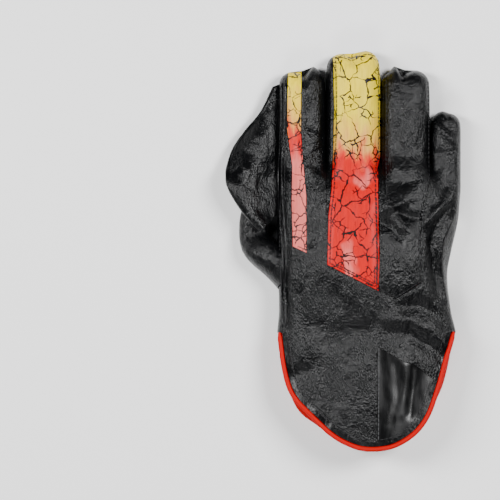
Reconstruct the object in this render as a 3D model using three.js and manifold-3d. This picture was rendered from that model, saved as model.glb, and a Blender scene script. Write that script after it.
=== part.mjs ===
// A right-hand wicketkeeping glove that lies palm down, as its separate leather, rubber and fabric pieces.
// Millimetres. +X runs from the thumb's side to the little finger's, +Y to the fingertips and +Z up.
// The origin lies on the flat of the palm, which rests on the table at z = 0.
import * as THREE from "three";
import { mergeVertices } from "three/addons/utils/BufferGeometryUtils.js";
import Module from "manifold-3d";

const wasm = await Module();
wasm.setup();

// Driving sizes of the hand and the cuff.
const palmLength = 131; // from the notches at the wrist to the crotch of the long fingers
const palmOriginShare = 0.473; // of the palm's length that lies between the wrist and the origin
const cuffLength = 88; // from the notches at the wrist to the end of the back gauntlet
const handHeight = 44;
const fingerSeam = 11; // height of the side seam along the fingers
const handSeam = 16; // the same along the hand
const cuffSeam = 20; // the same at the cuff

// Driving sizes of the fingers: length is from the crotch to the tip.
const fingerGap = 1;
const indexWidth = 34.8;
const indexLength = 67;
const indexHeight = 29;
const middleWidth = 40;
const middleLength = 80;
const middleHeight = 31;
const ringWidth = 36.2;
const ringLength = 68;
const ringHeight = 29;
const littleWidth = 22.7;
const littleLength = 55;
const littleHeight = 25;
const littleCrotchDrop = 20; // the little finger parts from the hand this far below the others
const tipRounding = 15;
const knuckleHeight = 38;

// Driving sizes of the thumb and the web between it and the index finger.
const thumbWidth = 26;
const thumbHeight = 29;
const thumbSeam = 9;
const webReach = 38;
const webHeight = 27; // where the web passes over the tip of the thumb
const webFoldHeight = 6;
const webFlapLength = 8;
const webLeather = 1.3;
const webFabric = 0.9;
const webBindingWidth = 2.6;

// Walls, trim and clearances.
const backWall = 3.4; // leather over thin foam
const sideWall = 2.8;
const palmWall = 2.5; // rubber facing over leather
const frontPad = 5.5; // the padded inner cuff
const pipingWidth = 3.6;
const cuffBandWidth = 3.2;
const gap = 0.3;
const foldDepth = 2.4;
const foldSize = 10;

const FAR = 400;

const radians = THREE.MathUtils.degToRad;
const clamp = THREE.MathUtils.clamp;
const lerp = THREE.MathUtils.lerp;
const smooth = (share) => THREE.MathUtils.smoothstep(share, 0, 1);

const wristY = -palmOriginShare * palmLength;
const crotchY = wristY + palmLength;
const handWidth = indexWidth + middleWidth + ringWidth + littleWidth + 3 * fingerGap;
const halfWidth = handWidth / 2;

// Places along the glove: 0 is the wrist, 1 the finger crotch and -1 the end of the cuff.
const yAt = (along) => wristY + along * (along < 0 ? cuffLength : palmLength);
const alongAt = (y) => (y - wristY) / (y < wristY ? cuffLength : palmLength);

// Sections of the hand: sides as shares of half the hand's width, top as a share of its height.
const HAND = [
  { along: -1.3, left: -1.02, right: 0.945, seam: cuffSeam, top: 1.04 },
  { along: -0.8, left: -1.02, right: 0.945, seam: cuffSeam, top: 1.03 },
  { along: -0.5, left: -1.02, right: 0.945, seam: cuffSeam, top: 1.0 },
  { along: -0.2, left: -1.02, right: 0.943, seam: cuffSeam, top: 0.96 },
  { along: 0, left: -1.02, right: 0.938, seam: cuffSeam, top: 0.93 },
  { along: 0.12, left: -1.0, right: 0.888, seam: lerp(cuffSeam, handSeam, 0.6), top: 0.95 },
  { along: 0.33, left: -1.01, right: 0.848, seam: handSeam, top: 0.97 },
  { along: 0.47, left: -1.02, right: 0.893, seam: handSeam, top: 0.95 },
  { along: 0.65, left: -1.015, right: 0.97, seam: lerp(handSeam, fingerSeam, 0.3), top: 0.9 },
  { along: 0.8, left: -1.0, right: 0.985, seam: lerp(handSeam, fingerSeam, 0.7), top: 0.82 },
  { along: 0.86, left: -0.985, right: 0.97, seam: fingerSeam, top: 0.7 },
];

// Fingertip rounding: width and height as shares of the finger's own.
const TIP = [
  { from: 0, wide: 0.52, high: 0.1 },
  { from: 0.07, wide: 0.7, high: 0.45 },
  { from: 0.24, wide: 0.88, high: 0.72 },
  { from: 0.52, wide: 0.97, high: 0.89 },
  { from: 1, wide: 1, high: 0.97 },
  { from: 1.8, wide: 1, high: 1 },
];

// The notch that the stuffing leaves in each fingertip: place and width as shares of half the finger.
const FINGERS = [
  { name: "index", width: indexWidth, length: indexLength, high: indexHeight, drop: 0, notch: 0.15, deep: 2.6 },
  { name: "middle", width: middleWidth, length: middleLength, high: middleHeight, drop: 0, notch: -0.08, deep: 3 },
  { name: "ring", width: ringWidth, length: ringLength, high: ringHeight, drop: 0, notch: -0.22, deep: 4 },
  {
    name: "little",
    width: littleWidth,
    length: littleLength,
    high: littleHeight,
    drop: littleCrotchDrop,
    notch: 0.1,
    deep: 1.2,
  },
];
const notchWidth = 0.26;
let edge = -halfWidth;
for (const finger of FINGERS) {
  finger.left = edge;
  finger.right = edge + finger.width;
  finger.crotch = crotchY - finger.drop;
  finger.tip = finger.crotch + finger.length;
  edge = finger.right + fingerGap;
}
const [indexFinger, middleFinger, ringFinger, littleFinger] = FINGERS;

// Dents and ridges of the back. Places are shares of half the width and of the palm's length from the
// origin, spreads are shares of foldSize, turn is in degrees and deep is a share of foldDepth.
const FOLDS = [
  { x: 0.28, y: 0.37, long: 1.6, wide: 0.45, turn: -5, deep: 1 },
  { x: 0.43, y: 0.33, long: 1.3, wide: 0.42, turn: 44, deep: -0.8 },
  { x: 0.16, y: 0.16, long: 1, wide: 0.6, turn: 60, deep: 0.75 },
  { x: 0.4, y: 0.18, long: 0.9, wide: 0.4, turn: -35, deep: 0.8 },
  { x: 0.77, y: 0.31, long: 1, wide: 0.45, turn: 50, deep: 0.75 },
  { x: 0.7, y: -0.07, long: 2.6, wide: 0.5, turn: 98, deep: 0.8 },
  { x: 0.44, y: -0.31, long: 1.6, wide: 0.7, turn: 160, deep: 0.75 },
  { x: 0.6, y: -0.55, long: 1.4, wide: 0.6, turn: 150, deep: 0.8 },
  { x: 0.44, y: -0.86, long: 1.8, wide: 0.8, turn: 90, deep: 0.6 },
  { x: -0.86, y: 0.43, long: 2.6, wide: 0.4, turn: 90, deep: 0.5 },
  { x: -0.77, y: -0.7, long: 1.2, wide: 0.6, turn: 30, deep: 0.6 },
  { x: 0.44, y: 0.98, long: 0.9, wide: 0.45, turn: 0, deep: 0.9 },
  { x: 0.87, y: 0.7, long: 0.8, wide: 0.35, turn: -40, deep: 0.6 },
  { x: -0.15, y: 1.09, long: 0.8, wide: 0.4, turn: 0, deep: 0.8 },
];

// A value of a table's column at a place along it, on a smooth curve through the rows.
function read(rows, key, column, at) {
  const last = rows.length - 1;
  let i = rows.findIndex((row, n) => n > 0 && at <= row[key]);
  if (i < 0) i = last;
  const low = rows[i - 1];
  const high = rows[i];
  const span = high[key] - low[key];
  const slope = (n) => {
    const from = rows[Math.max(n - 1, 0)];
    const to = rows[Math.min(n + 1, last)];
    return ((to[column] - from[column]) / (to[key] - from[key])) * span;
  };
  const t = clamp((at - low[key]) / span, 0, 1);
  const t2 = t * t;
  const t3 = t2 * t;
  return (
    (2 * t3 - 3 * t2 + 1) * low[column] +
    (t3 - 2 * t2 + t) * slope(i - 1) +
    (3 * t2 - 2 * t3) * high[column] +
    (t3 - t2) * slope(i)
  );
}

// The hand's section at y, as its sides and its levels.
function handSection(y) {
  const along = alongAt(y);
  return {
    left: read(HAND, "along", "left", along) * halfWidth,
    right: read(HAND, "along", "right", along) * halfWidth,
    seam: read(HAND, "along", "seam", along),
    top: read(HAND, "along", "top", along) * handHeight,
    floor: 0,
    high: handHeight,
  };
}
const seamAt = (y) => (y > yAt(0.86) ? fingerSeam : handSection(y).seam);

// A finger's section at y. Below its crotch it widens into its neighbours and rises to the knuckle.
function fingerSection(finger, y) {
  const seam = seamAt(y);
  const from = (finger.tip - y) / tipRounding;
  const wide = from < 1.8 ? read(TIP, "from", "wide", Math.max(from, 0)) : 1;
  const high = from < 1.8 ? read(TIP, "from", "high", Math.max(from, 0)) : 1;
  const below = finger.crotch - y;
  const spread = below > 0 ? 0.6 + 4 * smooth(below / 30) : 0;
  const rise = smooth((below + 8) / 42);
  const middle = (finger.left + finger.right) / 2;
  const half = (finger.width / 2) * wide;
  const fullTop = lerp(finger.high, knuckleHeight, rise);
  return {
    left: middle - half - (finger.name === "index" ? 0 : spread),
    right: middle + half + (finger.name === "little" ? 0 : spread),
    seam,
    top: seam + (fullTop - seam) * high,
    floor: seam * (1 - high) * 0.8,
  };
}

// One closed ring of a section: rounder over the back, flatter under the palm, where it is pressed flat.
const backRound = 2.5;
const palmRound = 3.4;
const palmFlat = 1.2; // the rings dip this far below the floor before they are pressed flat
function ring(section, sides, place) {
  const above = Math.ceil(sides * 0.62);
  const turns = Array.from({ length: sides }, (_, i) =>
    i < above ? ((i + 0.25) / (above - 0.5)) * Math.PI : Math.PI * (1 + (i - above + 0.75) / (sides - above + 0.5)),
  );
  const middle = (section.left + section.right) / 2;
  const half = (section.right - section.left) / 2;
  return turns.map((turn) => {
    const across = Math.cos(turn);
    const up = Math.sin(turn);
    const power = 2 / (up >= 0 ? backRound : palmRound);
    const rise = Math.abs(up) ** power;
    const low = section.seam - section.floor + palmFlat;
    const x = middle + half * Math.sign(across) * Math.abs(across) ** power;
    const z = up >= 0 ? section.seam + (section.top - section.seam) * rise : section.seam - low * rise;
    return place(x, Math.max(z, section.floor));
  });
}

// The section's hollow, or the section grown by a clearance.
const shrunk = (section, side, top, floor) => ({
  ...section,
  left: section.left + side,
  right: section.right - side,
  top: Math.max(section.top - top, section.seam + 1),
  floor: section.floor + floor,
});

// Height of a section's upper or under surface over x.
function levelOver(section, x, upper) {
  const middle = (section.left + section.right) / 2;
  const share = Math.min(Math.abs(x - middle) / ((section.right - section.left) / 2), 1);
  const power = upper ? backRound : palmRound;
  const rise = (1 - share ** power) ** (1 / power);
  if (upper) return section.seam + (section.top - section.seam) * rise;
  return Math.max(section.seam - (section.seam - section.floor + palmFlat) * rise, section.floor);
}

// Solids. Points are [x, y, z] and faces index them.
function solid(points, faces) {
  const make = (order) =>
    new wasm.Manifold(
      new wasm.Mesh({
        numProp: 3,
        vertProperties: new Float32Array(points.flat()),
        triVerts: new Uint32Array(order.flat()),
      }),
    );
  const made = make(faces);
  return made.volume() < 0 ? make(faces.map(([a, b, c]) => [a, c, b])) : made;
}

function loft(rings) {
  const count = rings[0].length;
  const middleOf = (points) =>
    [0, 1, 2].map((k) => points.reduce((sum, point) => sum + point[k], 0) / points.length);
  const points = [...rings.flat(), middleOf(rings[0]), middleOf(rings.at(-1))];
  const end = rings.length * count;
  const faces = [];
  for (let i = 0; i < count; i++) {
    const j = (i + 1) % count;
    for (let r = 0; r + 1 < rings.length; r++) {
      const a = r * count + i;
      const b = r * count + j;
      faces.push([a, b, b + count], [a, b + count, a + count]);
    }
    faces.push([end, j, i], [end + 1, end - count + i, end - count + j]);
  }
  return solid(points, faces);
}

// A closed sheet between two grids of points, each a list of rows.
function sheet(outside, inside) {
  const rows = outside.length;
  const columns = outside[0].length;
  const points = [...outside.flat(), ...inside.flat()];
  const back = rows * columns;
  const at = (r, c) => r * columns + c;
  const faces = [];
  const wall = (a, b) => faces.push([a, b, b + back], [a, b + back, a + back]);
  for (let r = 0; r + 1 < rows; r++) {
    for (let c = 0; c + 1 < columns; c++) {
      const corners = [at(r, c), at(r + 1, c), at(r + 1, c + 1), at(r, c + 1)];
      faces.push([corners[0], corners[1], corners[2]], [corners[0], corners[2], corners[3]]);
      const [a, b, d, e] = corners.map((n) => n + back);
      faces.push([a, d, b], [a, e, d]);
    }
    wall(at(r + 1, 0), at(r, 0));
    wall(at(r, columns - 1), at(r + 1, columns - 1));
  }
  for (let c = 0; c + 1 < columns; c++) {
    wall(at(0, c), at(0, c + 1));
    wall(at(rows - 1, c + 1), at(rows - 1, c));
  }
  return solid(points, faces);
}

function fromGeometry(geometry) {
  const bare = geometry.clone();
  bare.deleteAttribute("normal");
  bare.deleteAttribute("uv");
  const merged = mergeVertices(bare, 1e-3);
  return new wasm.Manifold(
    new wasm.Mesh({
      numProp: 3,
      vertProperties: merged.attributes.position.array,
      triVerts: new Uint32Array(merged.index.array),
    }),
  );
}

// An upright prism over a plan outline.
function prism(outline, from = -FAR / 2, to = FAR / 2) {
  const shape = new THREE.Shape(outline.map(([x, y]) => new THREE.Vector2(x, y)));
  const geometry = new THREE.ExtrudeGeometry(shape, { depth: to - from, bevelEnabled: false });
  return fromGeometry(geometry.translate(0, 0, from));
}

// A plan outline moved outwards by a distance, or inwards if it is negative.
function grow(outline, distance) {
  const turns = THREE.ShapeUtils.area(outline.map(([x, y]) => new THREE.Vector2(x, y))) > 0 ? 1 : -1;
  return outline.map((point, i) => {
    const before = outline.at(i - 1);
    const after = outline[(i + 1) % outline.length];
    const normal = (a, b) => new THREE.Vector2(b[1] - a[1], a[0] - b[0]).normalize();
    const one = normal(before, point);
    const two = normal(point, after);
    const bend = Math.max(1 + one.dot(two), 0.4);
    return [
      point[0] + ((one.x + two.x) / bend) * distance * turns,
      point[1] + ((one.y + two.y) / bend) * distance * turns,
    ];
  });
}

// A plan path moved to its left by a distance, with square corners kept square.
function shift(path, distance) {
  return path.map((point, i) => {
    const before = path[Math.max(i - 1, 0)];
    const after = path[Math.min(i + 1, path.length - 1)];
    const one = new THREE.Vector2(before[1] - point[1], point[0] - before[0]);
    const two = new THREE.Vector2(point[1] - after[1], after[0] - point[0]);
    if (i === 0) one.copy(two);
    if (i === path.length - 1) two.copy(one);
    one.normalize();
    two.normalize();
    const bend = 1 + one.dot(two);
    return [point[0] + ((one.x + two.x) / bend) * distance, point[1] + ((one.y + two.y) / bend) * distance];
  });
}

// Moves a point of the glove with the folds of its back and the notches of its fingertips.
function drape([x, y, z]) {
  const above = smooth((z - seamAt(y)) / 8);
  let lower = 0;
  for (const fold of FOLDS) {
    const turn = radians(fold.turn);
    const dx = x - fold.x * halfWidth;
    const dy = y - fold.y * palmLength;
    const along = (dx * Math.cos(turn) + dy * Math.sin(turn)) / (fold.long * foldSize);
    const across = (dy * Math.cos(turn) - dx * Math.sin(turn)) / (fold.wide * foldSize);
    lower += fold.deep * foldDepth * Math.exp(-along * along - across * across);
  }
  let back = 0;
  for (const finger of FINGERS) {
    const share = (x - (finger.left + finger.right) / 2) / (finger.width / 2);
    if (Math.abs(share) > 1.05) continue;
    const near = smooth(1 - (finger.tip - y) / tipRounding);
    back = finger.deep * near * Math.exp(-(((share - finger.notch) / notchWidth) ** 2));
  }
  return [x, y - back, z - lower * above];
}

// The glove's body: the hand and the four fingers, as solid forms and as their hollows.
const handRows = [-1.3, -1, -0.85, -0.7, -0.5, -0.38, -0.26, -0.16, -0.08];
for (let along = 0; along < 0.87; along += 0.06) handRows.push(along);
const tipRows = TIP.map((row) => row.from * tipRounding);
const rootY = yAt(0.6);

function fingerForm(finger, change, sides, tipInset, rows) {
  const shorter = { ...finger, tip: finger.tip - tipInset };
  const nearTip = tipRows.map((from) => shorter.tip - from);
  const low = nearTip.at(-1);
  const free = Array.from({ length: rows }, (_, i) => lerp(low, finger.crotch, (i + 1) / (rows + 1)));
  const root = [finger.crotch + 0.4, finger.crotch - 2, finger.crotch - 10, rootY];
  return loft(
    [...nearTip, ...free, ...root].map((y) =>
      ring(change(fingerSection(shorter, y)), sides, (x, z) => drape(sink(finger, change, x, y, z))),
    ),
  );
}

// Draws the root of a finger in until it lies inside the hand.
function sink(finger, change, x, y, z) {
  const part = smooth((finger.crotch - y) / 24);
  const hand = change(handSection(Math.min(y, yAt(0.86))));
  const inner = lerp(x, clamp(x, hand.left + 0.5, hand.right - 0.5), part);
  const cover = levelOver(hand, inner, true) - 0.6;
  return [inner, y, z > hand.seam ? lerp(z, Math.min(z, cover), part) : z];
}

function bodyForm(margin) {
  const wider = (section) => shrunk(section, -margin, -margin, 0);
  const hand = loft(
    handRows.map((along) => {
      const y = yAt(along);
      return ring(wider(handSection(y)), 28, (x, z) => drape([x, y, z]));
    }),
  );
  return FINGERS.reduce((form, finger) => form.add(fingerForm(finger, wider, 14, -margin, 2)), hand);
}

// The hollow of the hand at y, with the thick padding of the front cuff below the wrist.
function hollowSection(y) {
  const padded = smooth((alongAt(y) + 0.02) / -0.08);
  return shrunk(handSection(y), sideWall, backWall, lerp(palmWall, frontPad, padded));
}
function hollowForm() {
  const rows = [-1.5, -0.8, -0.4, -0.1, -0.02, 0.1, 0.22, 0.33, 0.44, 0.55, 0.66, 0.81];
  const hand = loft(
    rows.map((along) => {
      const y = yAt(along);
      return ring(hollowSection(Math.max(y, yAt(-1.3))), 20, (x, z) => drape([x, y, z]));
    }),
  );
  const thinner = (section) => shrunk(section, sideWall, backWall, palmWall);
  return FINGERS.reduce(
    (form, finger) => form.add(fingerForm(finger, thinner, 12, sideWall * 1.6, 1)),
    hand,
  );
}

// The thumb lies along a bent line from inside the hand to its tip. Places are shares of half the width
// and of the palm's length.
const THUMB_LINE = [
  { x: -0.74, y: -0.25 },
  { x: -1.01, y: -0.08 },
  { x: -1.26, y: 0.045 },
  { x: -1.28, y: 0.27 },
];
// Its sections from there to the tip, as shares of its width, height and seam level.
const THUMB = [
  { along: 0, wide: 0.9, high: 1, low: 0 },
  { along: 0.2, wide: 0.95, high: 1, low: 0 },
  { along: 0.4, wide: 1, high: 0.98, low: 0 },
  { along: 0.58, wide: 0.93, high: 0.84, low: 0 },
  { along: 0.7, wide: 0.85, high: 0.63, low: 0 },
  { along: 0.88, wide: 0.76, high: 0.6, low: 0.02 },
  { along: 0.96, wide: 0.62, high: 0.52, low: 0.2 },
  { along: 1, wide: 0.36, high: 0.4, low: 0.55 },
];
function thumbForm(wall, floor, rows, sides) {
  const line = new THREE.CatmullRomCurve3(
    THUMB_LINE.map(({ x, y }) => new THREE.Vector3(x * halfWidth, y * palmLength, 0)),
  );
  return loft(
    rows.map((along) => {
      const shortened = along * (1 - (wall * 1.2) / line.getLength());
      const centre = line.getPointAt(shortened);
      const heading = line.getTangentAt(shortened);
      const half = (read(THUMB, "along", "wide", along) * thumbWidth) / 2 - wall;
      const section = {
        left: -half,
        right: half,
        seam: thumbSeam,
        top: read(THUMB, "along", "high", along) * thumbHeight - wall,
        floor: Math.max(read(THUMB, "along", "low", along), 0) * thumbSeam + floor,
      };
      return ring(section, sides, (x, z) => [centre.x + heading.y * x, centre.y - heading.x * x, z]);
    }),
  );
}

const body = bodyForm(0);
const thumbOuter = thumbForm(0, 0, [0.02, 0.2, 0.35, 0.46, 0.55, 0.62, 0.7, 0.85, 0.96, 1], 16);
const thumbHollow = thumbForm(sideWall, palmWall, [0.06, 0.35, 0.5, 0.62, 0.7, 0.88, 1], 12);
const hollow = hollowForm().add(thumbHollow);
const shell = body.subtract(hollow);

// Everything above or below the seam that runs round the glove's sides.
function levels(from, to) {
  const ys = [-1.4, -0.1, 0, 0.06, 0.12, 0.2, 0.33, 0.47, 0.56, 0.65, 0.72, 0.8, 0.86, 1.8].map(yAt);
  return loft(ys.map((y) => [[-FAR, y, from(y)], [FAR, y, from(y)], [FAR, y, to(y)], [-FAR, y, to(y)]]));
}
const upper = levels((y) => seamAt(y) + gap / 2, () => FAR);
const lower = levels(() => -FAR, (y) => seamAt(y) - gap / 2);
const backShell = shell.intersect(upper);
const frontShell = shell.intersect(lower);

// Plan outlines, as shares of half the width and of the palm's length.
const plan = (rows) => rows.map(({ x, y }) => [x * halfWidth, y * palmLength]);
function curved(rows, divisions) {
  const curve = new THREE.CatmullRomCurve3(
    plan(rows).map(([x, y]) => new THREE.Vector3(x, y, 0)),
    false,
    "centripetal",
  );
  return curve.getSpacedPoints(divisions).map((point) => [point.x, point.y]);
}

// The rims of the two gauntlets, from the thumb's side round the end to the little finger's side.
const BACK_RIM = [
  { x: -1.025, along: 0 },
  { x: -0.979, along: -0.276 },
  { x: -0.916, along: -0.468 },
  { x: -0.825, along: -0.587 },
  { x: -0.672, along: -0.708 },
  { x: -0.439, along: -0.875 },
  { x: -0.209, along: -0.97 },
  { x: 0, along: -1 },
  { x: 0.253, along: -0.97 },
  { x: 0.484, along: -0.863 },
  { x: 0.639, along: -0.707 },
  { x: 0.746, along: -0.489 },
  { x: 0.838, along: -0.25 },
  { x: 0.938, along: 0 },
];
const FRONT_RIM = [
  { x: -1.01, along: 0 },
  { x: -0.902, along: -0.45 },
  { x: -0.79, along: -0.665 },
  { x: -0.6, along: -0.79 },
  { x: -0.36, along: -0.905 },
  { x: -0.085, along: -0.968 },
  { x: 0.195, along: -0.955 },
  { x: 0.448, along: -0.865 },
  { x: 0.656, along: -0.68 },
  { x: 0.783, along: -0.506 },
  { x: 0.86, along: -0.3 },
  { x: 0.93, along: 0 },
];
const rimSteps = 18;
const pipingSides = 6;
const rimOf = (rows) =>
  curved(
    rows.map(({ x, along }) => ({ x, y: yAt(along) / palmLength })),
    rimSteps,
  );

// What lies inside a rim, moved in by a distance, with all that lies above the notches at the wrist.
function insideRim(rim, distance, notch) {
  const path = shift(rim, distance);
  return prism([...path, [FAR, notch], [FAR, FAR], [-FAR, FAR], [-FAR, notch]]);
}
function trimEdge(rim, shellHalf, isBack) {
  const inset = pipingWidth + gap;
  const edgeLine = shift(rim, inset);
  const reach = pipingWidth / 2;
  const centre = shift(rim, reach);
  const left = shift(rim, 0);
  const piping = loft(
    centre.map(([x, y], i) => {
      const [ex, ey] = edgeLine[i];
      const out = levelOver(handSection(ey), ex, isBack);
      const inside = levelOver(hollowSection(ey), ex, isBack);
      const limit = reach + gap;
      const level = (out + inside) / 2;
      const z = isBack ? Math.max(level, cuffSeam + limit) : Math.min(level, cuffSeam - limit);
      const across = [(x - left[i][0]) / reach, (y - left[i][1]) / reach];
      return Array.from({ length: pipingSides }, (_, n) => {
        const turn = (n / pipingSides) * 2 * Math.PI;
        const side = reach * Math.cos(turn);
        return [x + across[0] * side, y + across[1] * side, z + reach * Math.sin(turn)];
      });
    }),
  );
  const notch = wristY + gap;
  const whole = insideRim(rim, inset, notch);
  const field = insideRim(rim, inset + cuffBandWidth + gap, notch);
  const band = shellHalf
    .intersect(whole)
    .subtract(insideRim(rim, inset + cuffBandWidth, notch))
    .subtract(prism([[-FAR, wristY], [FAR, wristY], [FAR, FAR], [-FAR, FAR]]));
  return { piping, band, rest: shellHalf.intersect(field) };
}
const back = trimEdge(rimOf(BACK_RIM), backShell, true);
const front = trimEdge(rimOf(FRONT_RIM), frontShell, false);

// Insets of the back, as plan outlines.
const middleLeft = (middleFinger.left - fingerGap / 2) / halfWidth;
const middleRight = (middleFinger.right + fingerGap / 2) / halfWidth;
const ringRight = (ringFinger.right + fingerGap / 2) / halfWidth;
const tipEdge = 1.2;
const MIDDLE_PANEL = [
  { x: middleLeft + 0.07, y: tipEdge },
  { x: middleLeft + 0.085, y: 0.8 },
  { x: middleLeft + 0.074, y: 0.55 },
  { x: middleLeft + 0.054, y: 0.35 },
  { x: middleLeft + 0.02, y: 0.2 },
  { x: middleLeft + 0.005, y: -0.084 },
  { x: 0.081, y: -0.233 },
  { x: 0.09, y: -0.06 },
  { x: 0.078, y: 0.3 },
  { x: 0.085, y: 0.48 },
  { x: middleRight, y: 0.54 },
  { x: middleRight, y: tipEdge },
];
const MIDDLE_STRIP = [
  { x: middleLeft, y: tipEdge },
  { x: middleLeft, y: 0.2 },
  ...MIDDLE_PANEL.slice(0, 5).reverse(),
];
const RING_PANEL = [
  { x: middleRight + 0.04, y: tipEdge },
  { x: middleRight + 0.035, y: 0.31 },
  { x: 0.078, y: 0.3 },
  { x: 0.09, y: -0.06 },
  { x: 0.081, y: -0.229 },
  { x: 0.272, y: -0.281 },
  { x: 0.546, y: -0.189 },
  { x: 0.546, y: 0.2 },
  { x: 0.57, y: 0.25 },
  { x: ringRight, y: 0.42 },
  { x: ringRight, y: tipEdge },
];
const RING_STRIP = [
  { x: middleRight, y: tipEdge },
  { x: middleRight, y: 0.54 },
  { x: 0.085, y: 0.48 },
  { x: 0.078, y: 0.3 },
  { x: middleRight + 0.035, y: 0.31 },
  { x: middleRight + 0.04, y: tipEdge },
];
const INDEX_STRIPE = [
  { x: -0.892, y: tipEdge },
  { x: -0.911, y: 0.88 },
  { x: -0.914, y: 0.69 },
  { x: -0.858, y: 0.48 },
  { x: -0.864, y: 0.26 },
  { x: -0.853, y: 0.02 },
  { x: -0.702, y: -0.017 },
  { x: -0.704, y: 0.31 },
  { x: -0.737, y: 0.5 },
  { x: -0.761, y: 0.67 },
  { x: -0.758, y: 0.9 },
  { x: -0.737, y: tipEdge },
];
const GAUNTLET_PATCH = [
  { x: 0.07, y: -0.55 },
  { x: 0.062, y: -1.3 },
  { x: 0.9, y: -1.3 },
  { x: 0.82, y: -0.79 },
  { x: 0.673, y: -0.733 },
  { x: 0.47, y: -0.653 },
  { x: 0.355, y: -0.635 },
];
const PALM_PATCH = [
  { x: 0.2, y: 0.25 },
  { x: 0.085, y: 0.118 },
  { x: 0.036, y: 0 },
  { x: 0.07, y: -0.14 },
  { x: 0.157, y: -0.292 },
  { x: 0.35, y: -0.388 },
  { x: 0.5, y: -0.394 },
  { x: 0.65, y: -0.315 },
  { x: 0.746, y: -0.23 },
];
const PALM_END = [
  { x: -1.2, y: -0.4 },
  { x: -0.985, y: -0.435 },
  { x: -0.84, y: -0.469 },
  { x: -0.336, y: -0.553 },
  { x: -0.05, y: -0.555 },
  { x: 0.75, y: -0.504 },
  { x: 1.2, y: -0.47 },
];
const STRIP_END = [
  { x: -1.2, y: -0.52 },
  { x: -0.907, y: -0.544 },
  { x: -0.336, y: -0.607 },
  { x: 0.2, y: -0.59 },
  { x: 0.75, y: -0.55 },
  { x: 1.2, y: -0.53 },
];
const CROTCH_PATCH = [
  { x: -1.3, y: 0.18 },
  { x: -0.92, y: 0.143 },
  { x: -0.764, y: 0.12 },
  { x: -0.664, y: 0.046 },
  { x: -0.64, y: 0 },
  { x: -0.72, y: -0.085 },
  { x: -0.83, y: -0.112 },
  { x: -0.92, y: -0.05 },
  { x: -1.3, y: -0.02 },
];

// Cuts the insets out of a piece one after the other, each with its clearance.
function inlay(field, outlines) {
  let rest = field;
  const pieces = outlines.map((outline) => {
    const piece = rest.intersect(prism(grow(outline, -gap / 2)));
    rest = rest.subtract(prism(grow(outline, gap / 2)));
    return piece;
  });
  return [...pieces, rest];
}
const [middlePanel, middleStrip, ringPanel, ringStrip, indexStripe, gauntletPatch, handBack] = inlay(
  back.rest,
  [MIDDLE_PANEL, MIDDLE_STRIP, RING_PANEL, RING_STRIP, INDEX_STRIPE, GAUNTLET_PATCH].map(plan),
);
const below = (rows, steps) => [...curved(rows, steps), [FAR, -FAR], [-FAR, -FAR]];
const palmPatchOutline = [...curved(PALM_PATCH, 16), [FAR, -0.22 * palmLength], [FAR, 0.16 * palmLength]];
palmPatchOutline.push([0.34 * halfWidth, 0.19 * palmLength]);
const [cuffFront, wristStrip, palmPatch, crotchPatch, palmRubber] = inlay(front.rest, [
  below(STRIP_END, 10),
  below(PALM_END, 10),
  palmPatchOutline,
  curved(CROTCH_PATCH, 12),
]);

// The thumb outside the hand.
const thumbShell = thumbOuter.subtract(hollow).subtract(bodyForm(gap));
const slab = (from, to) => prism([[-FAR, -FAR], [FAR, -FAR], [FAR, FAR], [-FAR, FAR]], from, to);
const thumbBack = thumbShell.intersect(slab(thumbSeam + gap / 2, FAR));
const thumbFront = thumbShell.intersect(slab(-FAR, thumbSeam - gap / 2));

// The web between the index finger and the thumb. Each row runs from the side of the finger to the web's
// edge: along the side, then reach, slip towards the wrist, level of the edge and crown, as shares.
const webTop = indexFinger.tip - 11;
const webEnd = 0.215 * palmLength;
const WEB = [
  { along: 0, reach: 0.06, slip: 0.015, level: 0.5, crown: 0 },
  { along: 0.12, reach: 0.3, slip: 0.08, level: 0.44, crown: 0.04 },
  { along: 0.25, reach: 0.6, slip: 0.1, level: 0.4, crown: 0.12 },
  { along: 0.4, reach: 0.83, slip: 0.085, level: 0.46, crown: 0.2 },
  { along: 0.55, reach: 0.95, slip: 0.07, level: 0.62, crown: 0.2 },
  { along: 0.66, reach: 0.98, slip: 0.05, level: 0.86, crown: 0.14 },
  { along: 0.78, reach: 0.92, slip: 0.04, level: 1, crown: 0.06 },
  { along: 0.9, reach: 0.66, slip: 0.08, level: 1, crown: 0.02 },
  { along: 1, reach: 0.3, slip: 0.13, level: 0.98, crown: 0 },
];
const webSteps = 16;
const foldStep = 11; // from this step to its end the web is folded back under itself
function webRow(along) {
  const y = lerp(webTop, webEnd, along);
  const side = Math.min(fingerSection(indexFinger, y).left, y < yAt(0.86) ? handSection(y).left : 0);
  const out = read(WEB, "along", "reach", along) * webReach;
  const slip = read(WEB, "along", "slip", along) * (webTop - webEnd);
  const start = new THREE.Vector3(side - gap, y, seamAt(y) + webLeather);
  const end = new THREE.Vector3(side - gap - out, y - slip, read(WEB, "along", "level", along) * webHeight);
  const heading = new THREE.Vector3(end.x - start.x, end.y - start.y, 0).normalize();
  const crown = read(WEB, "along", "crown", along) * webHeight;
  return { start, end, heading, crown };
}
const webRows = Array.from({ length: webSteps + 1 }, (_, i) => webRow(i / webSteps));
function webPoint({ start, end, crown }, share, drop) {
  const point = start.clone().lerp(end, share);
  const level = lerp(start.z, end.z, smooth(share)) + crown * Math.sin(Math.PI * share);
  return [point.x, point.y, level - drop];
}
const shares = (count) => Array.from({ length: count + 1 }, (_, i) => i / count);
const webSheet = (over, under) => {
  const grid = (drop) => webRows.map((row) => shares(6).map((share) => webPoint(row, share, drop)));
  return sheet(grid(over), grid(under));
};
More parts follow.
